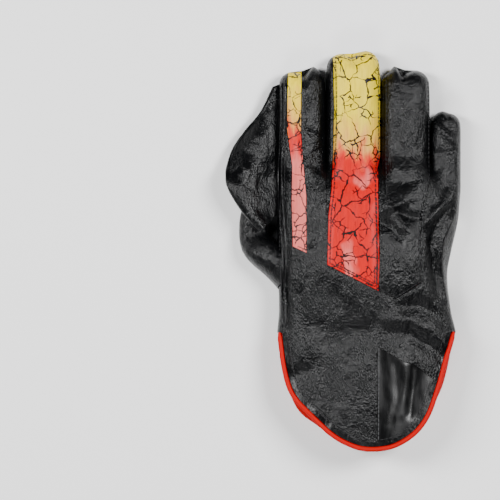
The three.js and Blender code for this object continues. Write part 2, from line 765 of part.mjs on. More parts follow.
const webFold = (over, under) => {
  const grid = (depth) =>
    webRows.slice(foldStep).map((row) => {
      const radius = webFoldHeight / 2;
      const arc = shares(4).map((share) => {
        const turn = Math.PI * (0.5 - share);
        const out = (radius - depth) * Math.cos(turn);
        const level = row.end.z - radius + (radius - depth) * Math.sin(turn);
        return [row.end.x + row.heading.x * out, row.end.y + row.heading.y * out, level];
      });
      const inwards = (distance) => 1 - distance / row.start.distanceTo(row.end);
      const flap = (part) => webPoint(row, inwards(webFlapLength * part), webFoldHeight - depth);
      return [webPoint(row, inwards(0.6), depth), ...arc, flap(0.5), flap(1)];
    });
  return sheet(grid(over), grid(under));
};
const fabricTop = webLeather + gap;
const fabricEnd = fabricTop + webFabric;
const webBack = webSheet(0, webLeather).add(webFold(0, webLeather));
const webFront = webSheet(fabricTop, fabricEnd).add(webFold(fabricTop, fabricEnd));
const bindingRows = webRows.slice(0, foldStep);
const bindingGrid = (drop) =>
  bindingRows.map(({ end, heading }) =>
    [gap, gap + webBindingWidth].map((out) => [end.x + heading.x * out, end.y + heading.y * out, end.z - drop]),
  );
const webBinding = sheet(bindingGrid(-gap), bindingGrid(fabricEnd + gap));

const LOOKS = {
  leather: { color: 0x15161a, roughness: 0.42, metalness: 0 },
  gloss: { color: 0x101114, roughness: 0.3, metalness: 0 },
  print: { color: 0x9c3524, roughness: 0.4, metalness: 0 },
  rubber: { color: 0x1c1d20, roughness: 0.75, metalness: 0 },
  white: { color: 0xd9d9d6, roughness: 0.6, metalness: 0 },
  fabric: { color: 0x17181a, roughness: 0.85, metalness: 0 },
  red: { color: 0xb3141c, roughness: 0.4, metalness: 0 },
};
const group = new THREE.Group();
function addPiece(name, form, look) {
  const { vertProperties, triVerts } = form.getMesh();
  const geometry = new THREE.BufferGeometry();
  geometry.setAttribute("position", new THREE.BufferAttribute(vertProperties, 3));
  geometry.setIndex(new THREE.BufferAttribute(triVerts, 1));
  const faceted = geometry.toNonIndexed();
  faceted.computeVertexNormals();
  const mesh = new THREE.Mesh(faceted, new THREE.MeshStandardMaterial(LOOKS[look]));
  mesh.name = name;
  group.add(mesh);
}
addPiece("hand_back", handBack, "leather");
addPiece("middle_panel", middlePanel, "print");
addPiece("middle_strip", middleStrip, "leather");
addPiece("ring_panel", ringPanel, "leather");
addPiece("ring_strip", ringStrip, "leather");
addPiece("index_stripe", indexStripe, "print");
addPiece("gauntlet_patch", gauntletPatch, "gloss");
addPiece("cuff_band_back", back.band, "gloss");
addPiece("piping_back", back.piping, "red");
addPiece("palm_rubber", palmRubber, "rubber");
addPiece("palm_patch", palmPatch, "white");
addPiece("crotch_patch", crotchPatch, "leather");
addPiece("wrist_strip", wristStrip, "leather");
addPiece("cuff_front", cuffFront, "leather");
addPiece("cuff_band_front", front.band, "gloss");
addPiece("piping_front", front.piping, "red");
addPiece("thumb_back", thumbBack, "leather");
addPiece("thumb_front", thumbFront, "rubber");
addPiece("web_back", webBack, "leather");
addPiece("web_front", webFront, "fabric");
addPiece("web_binding", webBinding, "gloss");

export default group;
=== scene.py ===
"""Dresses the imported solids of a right-hand wicketkeeping glove, which lies on its palm."""

import math

import bpy
import numpy as np
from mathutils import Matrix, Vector, noise
from mathutils.bvhtree import BVHTree


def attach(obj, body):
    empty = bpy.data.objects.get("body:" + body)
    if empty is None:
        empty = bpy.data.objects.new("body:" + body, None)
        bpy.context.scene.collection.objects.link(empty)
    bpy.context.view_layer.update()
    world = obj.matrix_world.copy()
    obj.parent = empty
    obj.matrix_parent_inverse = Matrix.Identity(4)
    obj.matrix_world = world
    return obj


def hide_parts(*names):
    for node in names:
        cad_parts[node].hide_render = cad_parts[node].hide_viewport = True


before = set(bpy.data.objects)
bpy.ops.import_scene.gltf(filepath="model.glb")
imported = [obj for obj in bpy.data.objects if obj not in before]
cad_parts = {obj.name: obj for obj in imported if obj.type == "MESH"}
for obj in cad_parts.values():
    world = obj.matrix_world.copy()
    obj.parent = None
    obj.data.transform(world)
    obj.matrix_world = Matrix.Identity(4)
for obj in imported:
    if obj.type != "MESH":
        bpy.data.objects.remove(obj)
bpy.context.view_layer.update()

bl_info = {
    "name": "Wicketkeeping glove",
    "version": (1, 0, 0),
    "blender": (4, 5, 0),
    "location": "View3D > Sidebar > Glove",
    "description": "Leather, rubber, piping and stitches of a padded glove with a thumb web",
    "category": "Add Mesh",
}

MM = 0.001

# Sizes of the pattern, in millimetres.
palm_length = 131
palm_origin_share = 0.473
cuff_length = 88
hand_height = 44
finger_seam = 11
hand_seam = 16
cuff_seam = 20
finger_gap = 1
finger_lean = 0.55
index_width, index_length, index_height = 34.8, 67, 29
middle_width, middle_length, middle_height = 40, 80, 31
ring_width, ring_length, ring_height = 36.2, 68, 29
little_width, little_length, little_height = 22.7, 55, 25
little_crotch_drop = 20
tip_rounding = 15
knuckle_height = 38
thumb_width = 26
thumb_height = 29
thumb_seam = 9
web_reach = 38
web_height = 27
web_fold_height = 6
web_flap_length = 8
web_leather = 1.3
web_fabric = 0.9
web_binding_width = 2.6
back_wall = 3.4
side_wall = 2.8
palm_wall = 2.5
front_pad = 5.5
piping_width = 3.6
cuff_band_width = 3.2
gap = 0.3
fold_depth = 2.4
fold_size = 10
back_round = 2.5
palm_round = 3.4
palm_flat = 1.2
notch_width = 0.26
web_drop = 11
crotch_left, crotch_right = -86, -66
crotch_near, crotch_tip = -6, 31
crotch_level = 6.5
crotch_sag = 1.4

# Reaches beyond all of the glove, in millimetres.
far = 400
below_all, above_all = -60, 120

# Places along the hand, as shares of the palm's length or the cuff's.
root_along = 0.86
open_along = -1.3
web_end_along = 0.215
tip_edge = 1.2


def lerp(a, b, t):
    return a + (b - a) * t


def smooth(t):
    t = np.clip(t, 0, 1)
    return t * t * (3 - 2 * t)


def table(names, *rows):
    """Rows of values as dicts, with the same names for each row."""
    return [dict(zip(names.split(), row)) for row in rows]


wrist_y = -palm_origin_share * palm_length
crotch_y = wrist_y + palm_length
hand_width = index_width + middle_width + ring_width + little_width + 3 * finger_gap
half_width = hand_width / 2


def y_at(along):
    return wrist_y + along * (cuff_length if along < 0 else palm_length)


def along_at(y):
    return (y - wrist_y) / (cuff_length if y < wrist_y else palm_length)


root_y = y_at(root_along)


# Sections of the hand, as shares of half its width and of its height.
HAND = table(
    "along left right seam top",
    (-1.3, -1.02, 0.945, cuff_seam, 1.04),
    (-0.8, -1.02, 0.945, cuff_seam, 1.03),
    (-0.5, -1.02, 0.945, cuff_seam, 1.0),
    (-0.2, -1.02, 0.943, cuff_seam, 0.96),
    (0, -1.02, 0.938, cuff_seam, 0.93),
    (0.12, -1.0, 0.888, lerp(cuff_seam, hand_seam, 0.6), 0.95),
    (0.33, -1.01, 0.848, hand_seam, 0.97),
    (0.47, -1.02, 0.893, hand_seam, 0.95),
    (0.65, -1.015, 0.97, lerp(hand_seam, finger_seam, 0.3), 0.9),
    (0.8, -1.0, 0.985, lerp(hand_seam, finger_seam, 0.7), 0.82),
    (0.86, -0.985, 0.97, finger_seam, 0.7),
)

# Rounding of the fingertips.
TIP = table(
    "depth wide high",
    (0, 0.52, 0.1), (0.07, 0.7, 0.45), (0.24, 0.88, 0.72), (0.52, 0.97, 0.89), (1, 1, 0.97),
    (1.8, 1, 1),
)

FINGERS = table(
    "name width length high drop notch deep",
    ("index", index_width, index_length, index_height, 0, 0.15, 2.6),
    ("middle", middle_width, middle_length, middle_height, 0, -0.08, 3),
    ("ring", ring_width, ring_length, ring_height, 0, -0.22, 4),
    ("little", little_width, little_length, little_height, little_crotch_drop, 0.1, 1.2),
)

edge = -half_width
for finger in FINGERS:
    finger["left"] = edge
    finger["right"] = edge + finger["width"]
    finger["crotch"] = crotch_y - finger["drop"]
    finger["tip"] = finger["crotch"] + finger["length"]
    edge = finger["right"] + finger_gap
index_finger, middle_finger, ring_finger, little_finger = FINGERS

# How far each fingertip's edge stands beyond its tip, from its left side to its right, in millimetres.
TIP_EDGES = {
    "index": (
        (-1.05, -3.5), (-0.8, -2.6), (-0.45, -2.2), (-0.1, -3.6), (0.06, -5), (0.2, -3), (0.46, 1.7),
        (0.7, 0.3), (1.05, -3),
    ),
    "middle": (
        (-1.05, -3), (-0.75, -2), (-0.52, -1.5), (-0.25, -2.6), (-0.08, -3.9), (0.1, -2.6), (0.35, 0.2),
        (0.5, 0.7), (0.75, 0.3), (1.05, -2),
    ),
    "ring": (
        (-1.05, -4), (-0.7, -2.6), (-0.45, 1), (-0.32, -0.8), (-0.15, -5.6), (0.05, -4), (0.37, -2.1),
        (0.7, -2.4), (1.05, -4),
    ),
    "little": (
        (-1.05, -3.4), (-0.6, -1.2), (-0.2, 0.3), (0.2, -1), (0.6, -2.2), (1.05, -3),
    ),
}

# Broad dents and ridges, which the solids have too.
FOLDS = table(
    "x y long wide turn deep",
    (0.28, 0.37, 1.6, 0.45, -5, 1), (0.43, 0.33, 1.3, 0.42, 44, -0.8), (0.16, 0.16, 1, 0.6, 60, 0.75),
    (0.4, 0.18, 0.9, 0.4, -35, 0.8), (0.77, 0.31, 1, 0.45, 50, 0.75), (0.7, -0.07, 2.6, 0.5, 98, 0.8),
    (0.44, -0.31, 1.6, 0.7, 160, 0.75), (0.6, -0.55, 1.4, 0.6, 150, 0.8),
    (0.44, -0.86, 1.8, 0.8, 90, 0.6), (-0.86, 0.43, 2.6, 0.4, 90, 0.5),
    (-0.77, -0.7, 1.2, 0.6, 30, 0.6), (0.44, 0.98, 0.9, 0.45, 0, 0.9), (0.87, 0.7, 0.8, 0.35, -40, 0.6),
    (-0.15, 1.09, 0.8, 0.4, 0, 0.8),
)

# Soft unevenness of the leather: its height, size, seed and stretch along the hand.
LUMPS = ((0.6, 13, 3, 1.6), (0.22, 4.5, 9, 2.2), (0.55, 6.5, 17, 4))
THUMB_LUMPS = ((0.9, 9, 21), (0.4, 3.5, 27))

# Finer creases of the leather: a path in millimetres, its width and its depth, where less than 0 is a ridge.
CREASES = table(
    "path wide deep",
    (((-64, 51), (-38, 51)), 9, -3.6),
    (((-28, 51), (2, 51)), 8, -1.6),
    (((12, 51), (42, 51)), 9, -3.2),
    (((-41, 72), (-42, 50), (-41, 24), (-45, 6)), 3.4, 1.3),
    (((-35, 66), (-35.5, 46), (-34, 26)), 2.6, -0.9),
    (((-66, 60), (-66, 40), (-65, 12)), 2.6, 0.9),
    (((38, 50), (28, 41), (17, 32)), 2.6, -1.7),
    (((17, 32), (21, 24), (25, 16)), 2.6, -1.5),
    (((20, 29), (27, 26), (35, 24)), 2.4, 1.6),
    (((6, 22), (14, 17), (20, 11)), 3.6, 2.0),
    (((11, 34), (13, 28), (17, 22)), 1.8, -1.2),
    (((12, 42), (18, 37)), 2.4, 1.4),
    (((66, 46), (53, 34), (41, 20)), 3.2, -1.6),
    (((60, 32), (50, 20), (44, 6)), 3.0, 1.8),
    (((64, 28), (55, 10), (52, -8), (55, -26), (58, -38)), 2.2, -1.7),
    (((45, 6), (46, -14), (50, -34)), 2.6, 1.4),
    (((60, 8), (57, -12), (60, -30)), 2.2, 1.3),
    (((22, -42), (38, -42), (50, -50), (60, -62)), 4.2, 1.2),
    (((12, -52), (30, -52), (46, -60), (56, -72)), 3.8, -0.9),
    (((14, -62), (30, -62), (44, -70), (52, -82)), 4.0, 0.9),
    (((26, -86), (25, -104), (23, -122)), 3.6, -0.7),
    (((32, -88), (31, -104), (29, -122)), 3.0, 1.0),
    (((18, -84), (20, -110), (14, -130)), 1.2, 0.5),
    (((-62, 4), (-63, -28), (-62, -58)), 2.2, 1.1),
    (((-36, 116), (-35, 92), (-37, 74)), 1.6, 0.9),
    (((-45, 88), (-38, 84)), 2.2, 1.2),
    (((-46, 64), (-37, 60)), 2.6, 1.0),
    (((-28, 28), (-32, 10)), 2.8, 0.9),
    (((47, 96), (62, 82)), 2.2, -1.2),
    (((50, 72), (64, 74)), 1.8, 0.7),
    (((10, 128), (20, 124), (34, 126)), 1.8, -0.8),
    (((13, 118), (30, 114)), 2.2, 0.7),
    (((22, 120), (23, 100), (21, 82), (24, 62)), 3.6, 1.1),
    (((54, 98), (55, 80), (53, 62)), 2.8, 1.2),
    (((-47, 112), (-46, 92), (-48, 70)), 3.0, 0.8),
    (((-49.9, 136), (-49, 124)), 1.7, 2.2),
    (((-14.2, 149), (-13, 139)), 1.8, 1.8),
    (((23.8, 138), (25.5, 126)), 1.8, 2.4),
    (((57, 105), (60, 95)), 1.6, 1.2),
)
THUMB_LINE = [
    (-0.74, -0.25), (-1.01, -0.08), (-1.26, 0.045), (-1.28, 0.27),
]

THUMB = table(
    "along wide high low",
    (0, 0.9, 1, 0), (0.2, 0.95, 1, 0), (0.4, 1, 0.98, 0), (0.58, 0.93, 0.84, 0), (0.7, 0.85, 0.63, 0),
    (0.88, 0.76, 0.6, 0.02), (0.96, 0.62, 0.52, 0.2), (1, 0.36, 0.4, 0.55),
)

# Rims of the gauntlets.
BACK_RIM = [
    (-1.025, 0), (-0.979, -0.276), (-0.916, -0.468), (-0.825, -0.587), (-0.672, -0.708),
    (-0.439, -0.875), (-0.209, -0.97), (0, -1), (0.253, -0.97), (0.484, -0.863), (0.639, -0.707),
    (0.746, -0.489), (0.838, -0.25), (0.938, 0),
]

FRONT_RIM = [
    (-1.01, 0), (-0.902, -0.45), (-0.79, -0.665), (-0.6, -0.79), (-0.36, -0.905), (-0.085, -0.968),
    (0.195, -0.955), (0.448, -0.865), (0.656, -0.68), (0.783, -0.506), (0.86, -0.3), (0.93, 0),
]

# Outlines of the insets, as shares of half the width and of the palm's length.
middle_left = (middle_finger["left"] - finger_gap / 2) / half_width
middle_right = (middle_finger["right"] + finger_gap / 2) / half_width
ring_right = (ring_finger["right"] + finger_gap / 2) / half_width
MIDDLE_PANEL = [
    (middle_left + 0.07, tip_edge), (middle_left + 0.085, 0.8), (middle_left + 0.074, 0.55),
    (middle_left + 0.054, 0.35), (middle_left + 0.02, 0.2), (middle_left + 0.005, -0.084),
    (0.081, -0.233), (0.09, -0.06), (0.078, 0.3), (0.085, 0.48), (middle_right, 0.54),
    (middle_right, tip_edge),
]
MIDDLE_STRIP = [(middle_left, tip_edge), (middle_left, 0.2), *MIDDLE_PANEL[4::-1]]
RING_PANEL = [
    (middle_right + 0.04, tip_edge), (middle_right + 0.035, 0.31), (0.078, 0.3), (0.09, -0.06),
    (0.081, -0.229), (0.272, -0.281), (0.546, -0.189), (0.546, 0.2), (0.57, 0.25), (ring_right, 0.42),
    (ring_right, tip_edge),
]
RING_STRIP = [
    (middle_right, tip_edge), (middle_right, 0.54), (0.085, 0.48), (0.078, 0.3),
    (middle_right + 0.035, 0.31), (middle_right + 0.04, tip_edge),
]
INDEX_STRIPE = [
    (-0.892, tip_edge), (-0.911, 0.88), (-0.914, 0.69), (-0.858, 0.48), (-0.864, 0.26), (-0.853, 0.02),
    (-0.702, -0.017), (-0.704, 0.31), (-0.737, 0.5), (-0.761, 0.67), (-0.758, 0.9), (-0.737, tip_edge),
]
GAUNTLET_PATCH = [
    (0.07, -0.55), (0.062, -1.3), (0.9, -1.3), (0.82, -0.79), (0.673, -0.733), (0.47, -0.653),
    (0.355, -0.635),
]
PALM_PATCH = [
    (0.2, 0.25), (0.085, 0.118), (0.036, 0), (0.07, -0.14), (0.157, -0.292), (0.35, -0.388),
    (0.5, -0.394), (0.65, -0.315), (0.746, -0.23),
]
PALM_END = [
    (-1.2, -0.4), (-0.985, -0.435), (-0.84, -0.469), (-0.336, -0.553), (-0.05, -0.555), (0.75, -0.504),
    (1.2, -0.47),
]
STRIP_END = [
    (-1.2, -0.52), (-0.907, -0.544), (-0.336, -0.607), (0.2, -0.59), (0.75, -0.55), (1.2, -0.53),
]
CROTCH_PATCH = [
    (-1.3, 0.18), (-0.92, 0.143), (-0.764, 0.12), (-0.664, 0.046), (-0.64, 0), (-0.72, -0.085),
    (-0.83, -0.112), (-0.92, -0.05), (-1.3, -0.02),
]

# Rows of the web, from the side of the index finger to its edge.
WEB = table(
    "along reach slip level crown",
    (0, 0.06, 0.015, 0.5, 0), (0.12, 0.3, 0.08, 0.44, 0.04), (0.25, 0.6, 0.1, 0.4, 0.12),
    (0.4, 0.83, 0.085, 0.46, 0.2), (0.55, 0.95, 0.07, 0.62, 0.2), (0.66, 0.98, 0.05, 0.86, 0.14),
    (0.78, 0.92, 0.04, 1, 0.06), (0.9, 0.66, 0.08, 1, 0.02), (1, 0.3, 0.13, 0.98, 0),
)


def curve_value(rows, column, at, key="along"):
    """A column's value at a place, on a smooth curve through the rows."""
    last = len(rows) - 1
    i = next((n for n in range(1, last + 1) if at <= rows[n][key]), last)
    low, high = rows[i - 1], rows[i]
    span = high[key] - low[key]

    def slope(n):
        a, b = rows[max(n - 1, 0)], rows[min(n + 1, last)]
        return (b[column] - a[column]) / (b[key] - a[key]) * span

    t = min(max((at - low[key]) / span, 0), 1)
    t2, t3 = t * t, t * t * t
    return (
        (2 * t3 - 3 * t2 + 1) * low[column]
        + (t3 - 2 * t2 + t) * slope(i - 1)
        + (3 * t2 - 2 * t3) * high[column]
        + (t3 - t2) * slope(i)
    )


def hand_section(y):
    along = along_at(y)
    left, right, top = (curve_value(HAND, name, along) for name in ("left", "right", "top"))
    seam = curve_value(HAND, "seam", along)
    left, right, top = left * half_width, right * half_width, top * hand_height
    return dict(left=left, right=right, seam=seam, top=top, floor=0.0)


def seam_at(y):
    return finger_seam if y > root_y else hand_section(y)["seam"]


SEAM_Y = np.arange(-240, 180, 1.0)
SEAM_Z = np.array([seam_at(y) for y in SEAM_Y])


def middle_of(section):
    return (section["left"] + section["right"]) / 2


def half_of(section):
    return (section["right"] - section["left"]) / 2


def finger_section(finger, y):
    seam = seam_at(y)
    depth = (finger["tip"] - y) / tip_rounding
    wide, high = (curve_value(TIP, name, max(depth, 0), "depth") for name in ("wide", "high"))
    below = finger["crotch"] - y
    spread = finger_lean + 4 * smooth(below / 30) if below > 0 else finger_lean * smooth((depth - 0.7) / 1.2)
    rise = smooth((below + 8) / 42)
    middle, half = middle_of(finger), finger["width"] / 2 * wide
    full_top = lerp(finger["high"], knuckle_height, rise)
    return dict(
        left=middle - half - (0 if finger["name"] == "index" else spread),
        right=middle + half + (0 if finger["name"] == "little" else spread),
        seam=seam,
        top=seam + (full_top - seam) * high,
        floor=seam * (1 - high) * 0.8,
    )


def ring(section, sides):
    """One closed ring of a section, as arrays of x and z."""
    above = math.ceil(sides * 0.62)
    i = np.arange(sides)
    over, under = (i + 0.25) / (above - 0.5), 1 + (i - above + 0.75) / (sides - above + 0.5)
    turn = np.where(i < above, over * math.pi, math.pi * under)
    across, up = np.cos(turn), np.sin(turn)
    power = np.where(up >= 0, 2 / back_round, 2 / palm_round)
    middle, half = middle_of(section), half_of(section)
    rise = np.abs(up) ** power
    low = section["seam"] - section["floor"] + palm_flat
    x = middle + half * np.sign(across) * np.abs(across) ** power
    z = section["seam"] + np.where(up >= 0, (section["top"] - section["seam"]) * rise, -low * rise)
    return x, np.maximum(z, section["floor"])


def shrunk(section, side, top, floor):
    return dict(
        left=section["left"] + side,
        right=section["right"] - side,
        seam=section["seam"],
        top=max(section["top"] - top, section["seam"] + 1),
        floor=section["floor"] + floor,
    )


def level_over(section, x, upper):
    share = np.minimum(np.abs(x - middle_of(section)) / half_of(section), 1)
    power = back_round if upper else palm_round
    rise = (1 - share**power) ** (1 / power)
    if upper:
        return section["seam"] + (section["top"] - section["seam"]) * rise
    low = section["seam"] - section["floor"] + palm_flat
    return np.maximum(section["seam"] - low * rise, section["floor"])


def path_distance(x, y, path):
    """Plan distance of points from a path."""
    best = np.full(x.shape, 1e9)
    for (ax, ay), (bx, by) in zip(path, path[1:]):
        dx, dy = bx - ax, by - ay
        t = np.clip(((x - ax) * dx + (y - ay) * dy) / (dx * dx + dy * dy + 1e-9), 0, 1)
        best = np.minimum(best, np.hypot(x - ax - t * dx, y - ay - t * dy))
    return best


def lumps(points, size, seed, stretch=1.0):
    """Soft unevenness between -1 and 1."""
    where = points / size
    where[:, 1] /= stretch
    return np.array([noise.noise(Vector(p) + Vector((seed, 0, 0))) for p in where.tolist()])


def drape(points, fine):
    """Moves points of the glove with its folds and fingertip notches, and with the fine creases."""
    x, y, z = points[:, 0], points[:, 1], points[:, 2]
    seam = np.interp(y, SEAM_Y, SEAM_Z)
    above = smooth((z - seam) / 8)
    lower = np.zeros(len(x))
    for fold in FOLDS:
        turn = math.radians(fold["turn"])
        dx, dy = x - fold["x"] * half_width, y - fold["y"] * palm_length
        along = (dx * math.cos(turn) + dy * math.sin(turn)) / (fold["long"] * fold_size)
        across = (dy * math.cos(turn) - dx * math.sin(turn)) / (fold["wide"] * fold_size)
        lower += fold["deep"] * fold_depth * np.exp(-along * along - across * across)
    if fine:
        for crease in CREASES:
            away = path_distance(x, y, crease["path"])
            lower += crease["deep"] * np.exp(-((away / crease["wide"]) ** 2))
        for path in SEAM_PATHS:
            lower += 0.9 * np.exp(-((path_distance(x, y, path) / 1.3) ** 2))
        for height, *how in LUMPS:
            lower += height * lumps(points, *how)
    back = np.zeros(len(x))
    for finger in FINGERS:
        share = (x - middle_of(finger)) / (finger["width"] / 2)
        near = smooth(1 - (finger["tip"] - y) / tip_rounding)
        if fine:
            rows = [dict(along=at, rise=rise) for at, rise in TIP_EDGES[finger["name"]]]
            places = np.linspace(-1.05, 1.05, 90)
            dent = -near * np.interp(share, places, [curve_value(rows, "rise", at) for at in places])
        else:
            dent = finger["deep"] * near * np.exp(-(((share - finger["notch"]) / notch_width) ** 2))
        back = np.where(np.abs(share) <= 1.05, dent, back)
    out = points.copy()
    out[:, 1] -= back
    out[:, 2] -= lower * above
    return out


def sink(finger, change, x, y, z):
    """Draws the root of a finger in until it lies inside the hand."""
    part = smooth((finger["crotch"] - y) / 24)
    hand = change(hand_section(min(y, root_y)))
    inner = lerp(x, np.clip(x, hand["left"] + 0.5, hand["right"] - 0.5), part)
    cover = level_over(hand, inner, True) - 0.6
    return inner, np.where(z > hand["seam"], lerp(z, np.minimum(z, cover), part), z)


# Meshes.


def new_object(name, points, faces):
    mesh = bpy.data.meshes.new(name)
    mesh.from_pydata((np.asarray(points, float) * MM).tolist(), [], faces)
    mesh.update()
    obj = bpy.data.objects.new(name, mesh)
    bpy.context.scene.collection.objects.link(obj)
    return obj


def solid_object(name, points, faces):
    """A closed mesh whose faces look outwards."""
    p = np.asarray(points, float)
    total = 0.0
    for face in faces:
        for b, c in zip(face[1:], face[2:]):
            total += np.dot(p[face[0]], np.cross(p[b], p[c]))
    return new_object(name, points, [face[::-1] for face in faces] if total < 0 else faces)


def ring_faces(start, rows, count):
    """The faces between rings of points, which begin at the point start."""
    faces = []
    for first in range(start, start + (rows - 1) * count, count):
        for i in range(count):
            a, b = first + i, first + (i + 1) % count
            faces.append((a, b, b + count, a + count))
    return faces


def loft(name, rings):
    rings = np.asarray(rings, float)
    rows, count = rings.shape[:2]
    points = np.concatenate([rings.reshape(-1, 3), rings[0].mean(0)[None], rings[-1].mean(0)[None]])
    end = rows * count
    faces = ring_faces(0, rows, count)
    for i in range(count):
        j = (i + 1) % count
        faces.append((end, j, i))
        faces.append((end + 1, end - count + i, end - count + j))
    return solid_object(name, points, faces)


def sheet_mesh(name, outside, inside):
    outside, inside = np.asarray(outside, float), np.asarray(inside, float)
    rows, columns = outside.shape[:2]
    points = np.concatenate([outside.reshape(-1, 3), inside.reshape(-1, 3)])
    back = rows * columns
    faces = []
    for r in range(rows - 1):
        for c in range(columns - 1):
            a, b = r * columns + c, (r + 1) * columns + c
            faces.append((a, b, b + 1, a + 1))
            faces.append((a + back, a + 1 + back, b + 1 + back, b + back))

    def wall(p, q):
        faces.append((p, q, q + back, p + back))

    for r in range(rows - 1):
        wall((r + 1) * columns, r * columns)
        wall(r * columns + columns - 1, (r + 1) * columns + columns - 1)
    for c in range(columns - 1):
        wall(c, c + 1)
        wall((rows - 1) * columns + c + 1, (rows - 1) * columns + c)
    return solid_object(name, points, faces)


def turns_left(p):
    return np.sum(p[:, 0] * np.roll(p[:, 1], -1) - p[:, 1] * np.roll(p[:, 0], -1)) > 0


def prism(outline, low=below_all, high=above_all):
    p = np.asarray(outline, float)
    if not turns_left(p):
        p = p[::-1]
    n = len(p)
    points = [(x, y, low) for x, y in p] + [(x, y, high) for x, y in p]
    faces = [tuple(range(n))[::-1], tuple(range(n, 2 * n))]
    faces += [(i, (i + 1) % n, n + (i + 1) % n, n + i) for i in range(n)]
    return new_object("cutter", points, faces)


def remove(obj):
    mesh = obj.data
    bpy.data.objects.remove(obj)
    bpy.data.meshes.remove(mesh)


def copy_of(obj):
    twin = obj.copy()
    twin.data = obj.data.copy()
    bpy.context.scene.collection.objects.link(twin)
    return twin


def combine(obj, tool, operation, keep=False):
    """Joins, cuts or intersects obj with tool, which is used up unless it is kept."""
    step = obj.modifiers.new("combine", "BOOLEAN")
    step.operation = operation
    step.solver = "MANIFOLD"
    step.object = tool
    graph = bpy.context.evaluated_depsgraph_get()
    mesh = bpy.data.meshes.new_from_object(obj.evaluated_get(graph))
    old = obj.data
    obj.modifiers.clear()
    obj.data = mesh
    bpy.data.meshes.remove(old)
    if not keep:
        remove(tool)
    if not mesh.polygons:
        raise RuntimeError(f"{obj.name}: nothing is left after {operation}")
    return obj


def grow(outline, distance):
    p = np.asarray(outline, float)
    ahead, behind = np.roll(p, -1, 0), np.roll(p, 1, 0)

    def normal(a, b):
        d = b - a
        n = np.stack([d[:, 1], -d[:, 0]], 1)
        return n / np.linalg.norm(n, axis=1)[:, None]

    one, two = normal(behind, p), normal(p, ahead)
    bend = np.maximum(1 + np.sum(one * two, 1), 0.4)[:, None]
    return p + (one + two) / bend * distance * (1 if turns_left(p) else -1)


def shift(path, distance):
    """An open plan path moved to its left."""
    p = np.asarray(path, float)
    d = np.diff(p, axis=0)
    n = np.stack([-d[:, 1], d[:, 0]], 1)
    n /= np.linalg.norm(n, axis=1)[:, None]
    one = np.concatenate([n[:1], n])
    two = np.concatenate([n, n[-1:]])
    bend = (1 + np.sum(one * two, 1))[:, None]
    return p + (one + two) / bend * distance


def plan(rows):
    return [(x * half_width, y * palm_length) for x, y in rows]


def smooth_path(points, count):
    """A smooth path through points, at even steps."""
    p = np.asarray(points, float)
    ends = np.concatenate([[2 * p[0] - p[1]], p, [2 * p[-1] - p[-2]]])
    fine = []
    for a, b, c, d in zip(ends, ends[1:], ends[2:], ends[3:]):
        for t in np.linspace(0, 1, 12, endpoint=False):
            square, cube = 2 * a - 5 * b + 4 * c - d, 3 * b - a - 3 * c + d
            fine.append(0.5 * (2 * b + (c - a) * t + square * t * t + cube * t**3))
    fine = np.array(fine + [p[-1]])
    return resample(fine, count)


def resample(points, count):
    p = np.asarray(points, float)
    run = np.concatenate([[0], np.cumsum(np.linalg.norm(np.diff(p, axis=0), axis=1))])
    at = np.linspace(0, run[-1], count + 1)
    return np.stack([np.interp(at, run, p[:, k]) for k in range(p.shape[1])], 1)


# The shell.

STRAIGHT_SEAMS = [plan(rows) for rows in (RING_PANEL, MIDDLE_PANEL, MIDDLE_STRIP, RING_STRIP)]
SEAM_PATHS = [path + path[:1] for path in STRAIGHT_SEAMS]


def draped(name, rows, ring_at, fine):
    """A form lofted through the rings at its rows and draped."""
    rings = []
    for y in rows:
        x, z = ring_at(y)
        rings.append(np.stack([x, np.full(x.shape, y), z], 1))
    rings = np.array(rings)
    return loft(name, drape(rings.reshape(-1, 3), fine).reshape(rings.shape))


def finger_form(finger, change, sides, tip_inset, step, fine):
    shorter = dict(finger, tip=finger["tip"] - tip_inset)
    near = [row["depth"] * tip_rounding for row in TIP]
    start = np.linspace(0, 3, 8) if fine else near[:2]
    depths = np.unique(np.concatenate([start, np.arange(3, 27, step), near[-1:]]))
    ys = [shorter["tip"] - d for d in depths]
    ys += list(np.arange(ys[-1] - step, finger["crotch"] + 1, -step))
    ys += [finger["crotch"] + 0.4, finger["crotch"] - 1]
    ys += list(np.arange(finger["crotch"] - 1 - step, y_at(0.6), -step)) + [y_at(0.6)]

    def ring_at(y):
        x, z = ring(change(finger_section(shorter, y)), sides)
        return sink(finger, change, x, y, z)

    return draped(finger["name"], ys, ring_at, fine)


def hand_form(name, rows, section_of, sides, fine):
    return draped(name, rows, lambda y: ring(section_of(y), sides), fine)


def ease(mesh, level, reach, rounds):
    """Smooths the upper side of a mesh in a belt across the glove at a level of y."""
    points = np.empty(len(mesh.vertices) * 3)
    mesh.vertices.foreach_get("co", points)
    points = points.reshape(-1, 3) / MM
    edges = np.empty(len(mesh.edges) * 2, int)
    mesh.edges.foreach_get("vertices", edges)
    a, b = edges.reshape(-1, 2).T
    count = np.bincount(np.concatenate([a, b]), minlength=len(points))[:, None]
    belt = smooth((reach - np.abs(points[:, 1] - level)) / 3)
    near = belt * smooth((points[:, 2] - seam_at(level) - 6) / 4)
    for _ in range(rounds):
        total = np.zeros_like(points)
        np.add.at(total, a, points[b])
        np.add.at(total, b, points[a])
        points += (total / np.maximum(count, 1) - points) * near[:, None] * 0.6
    mesh.vertices.foreach_set("co", (points * MM).ravel())
    mesh.update()


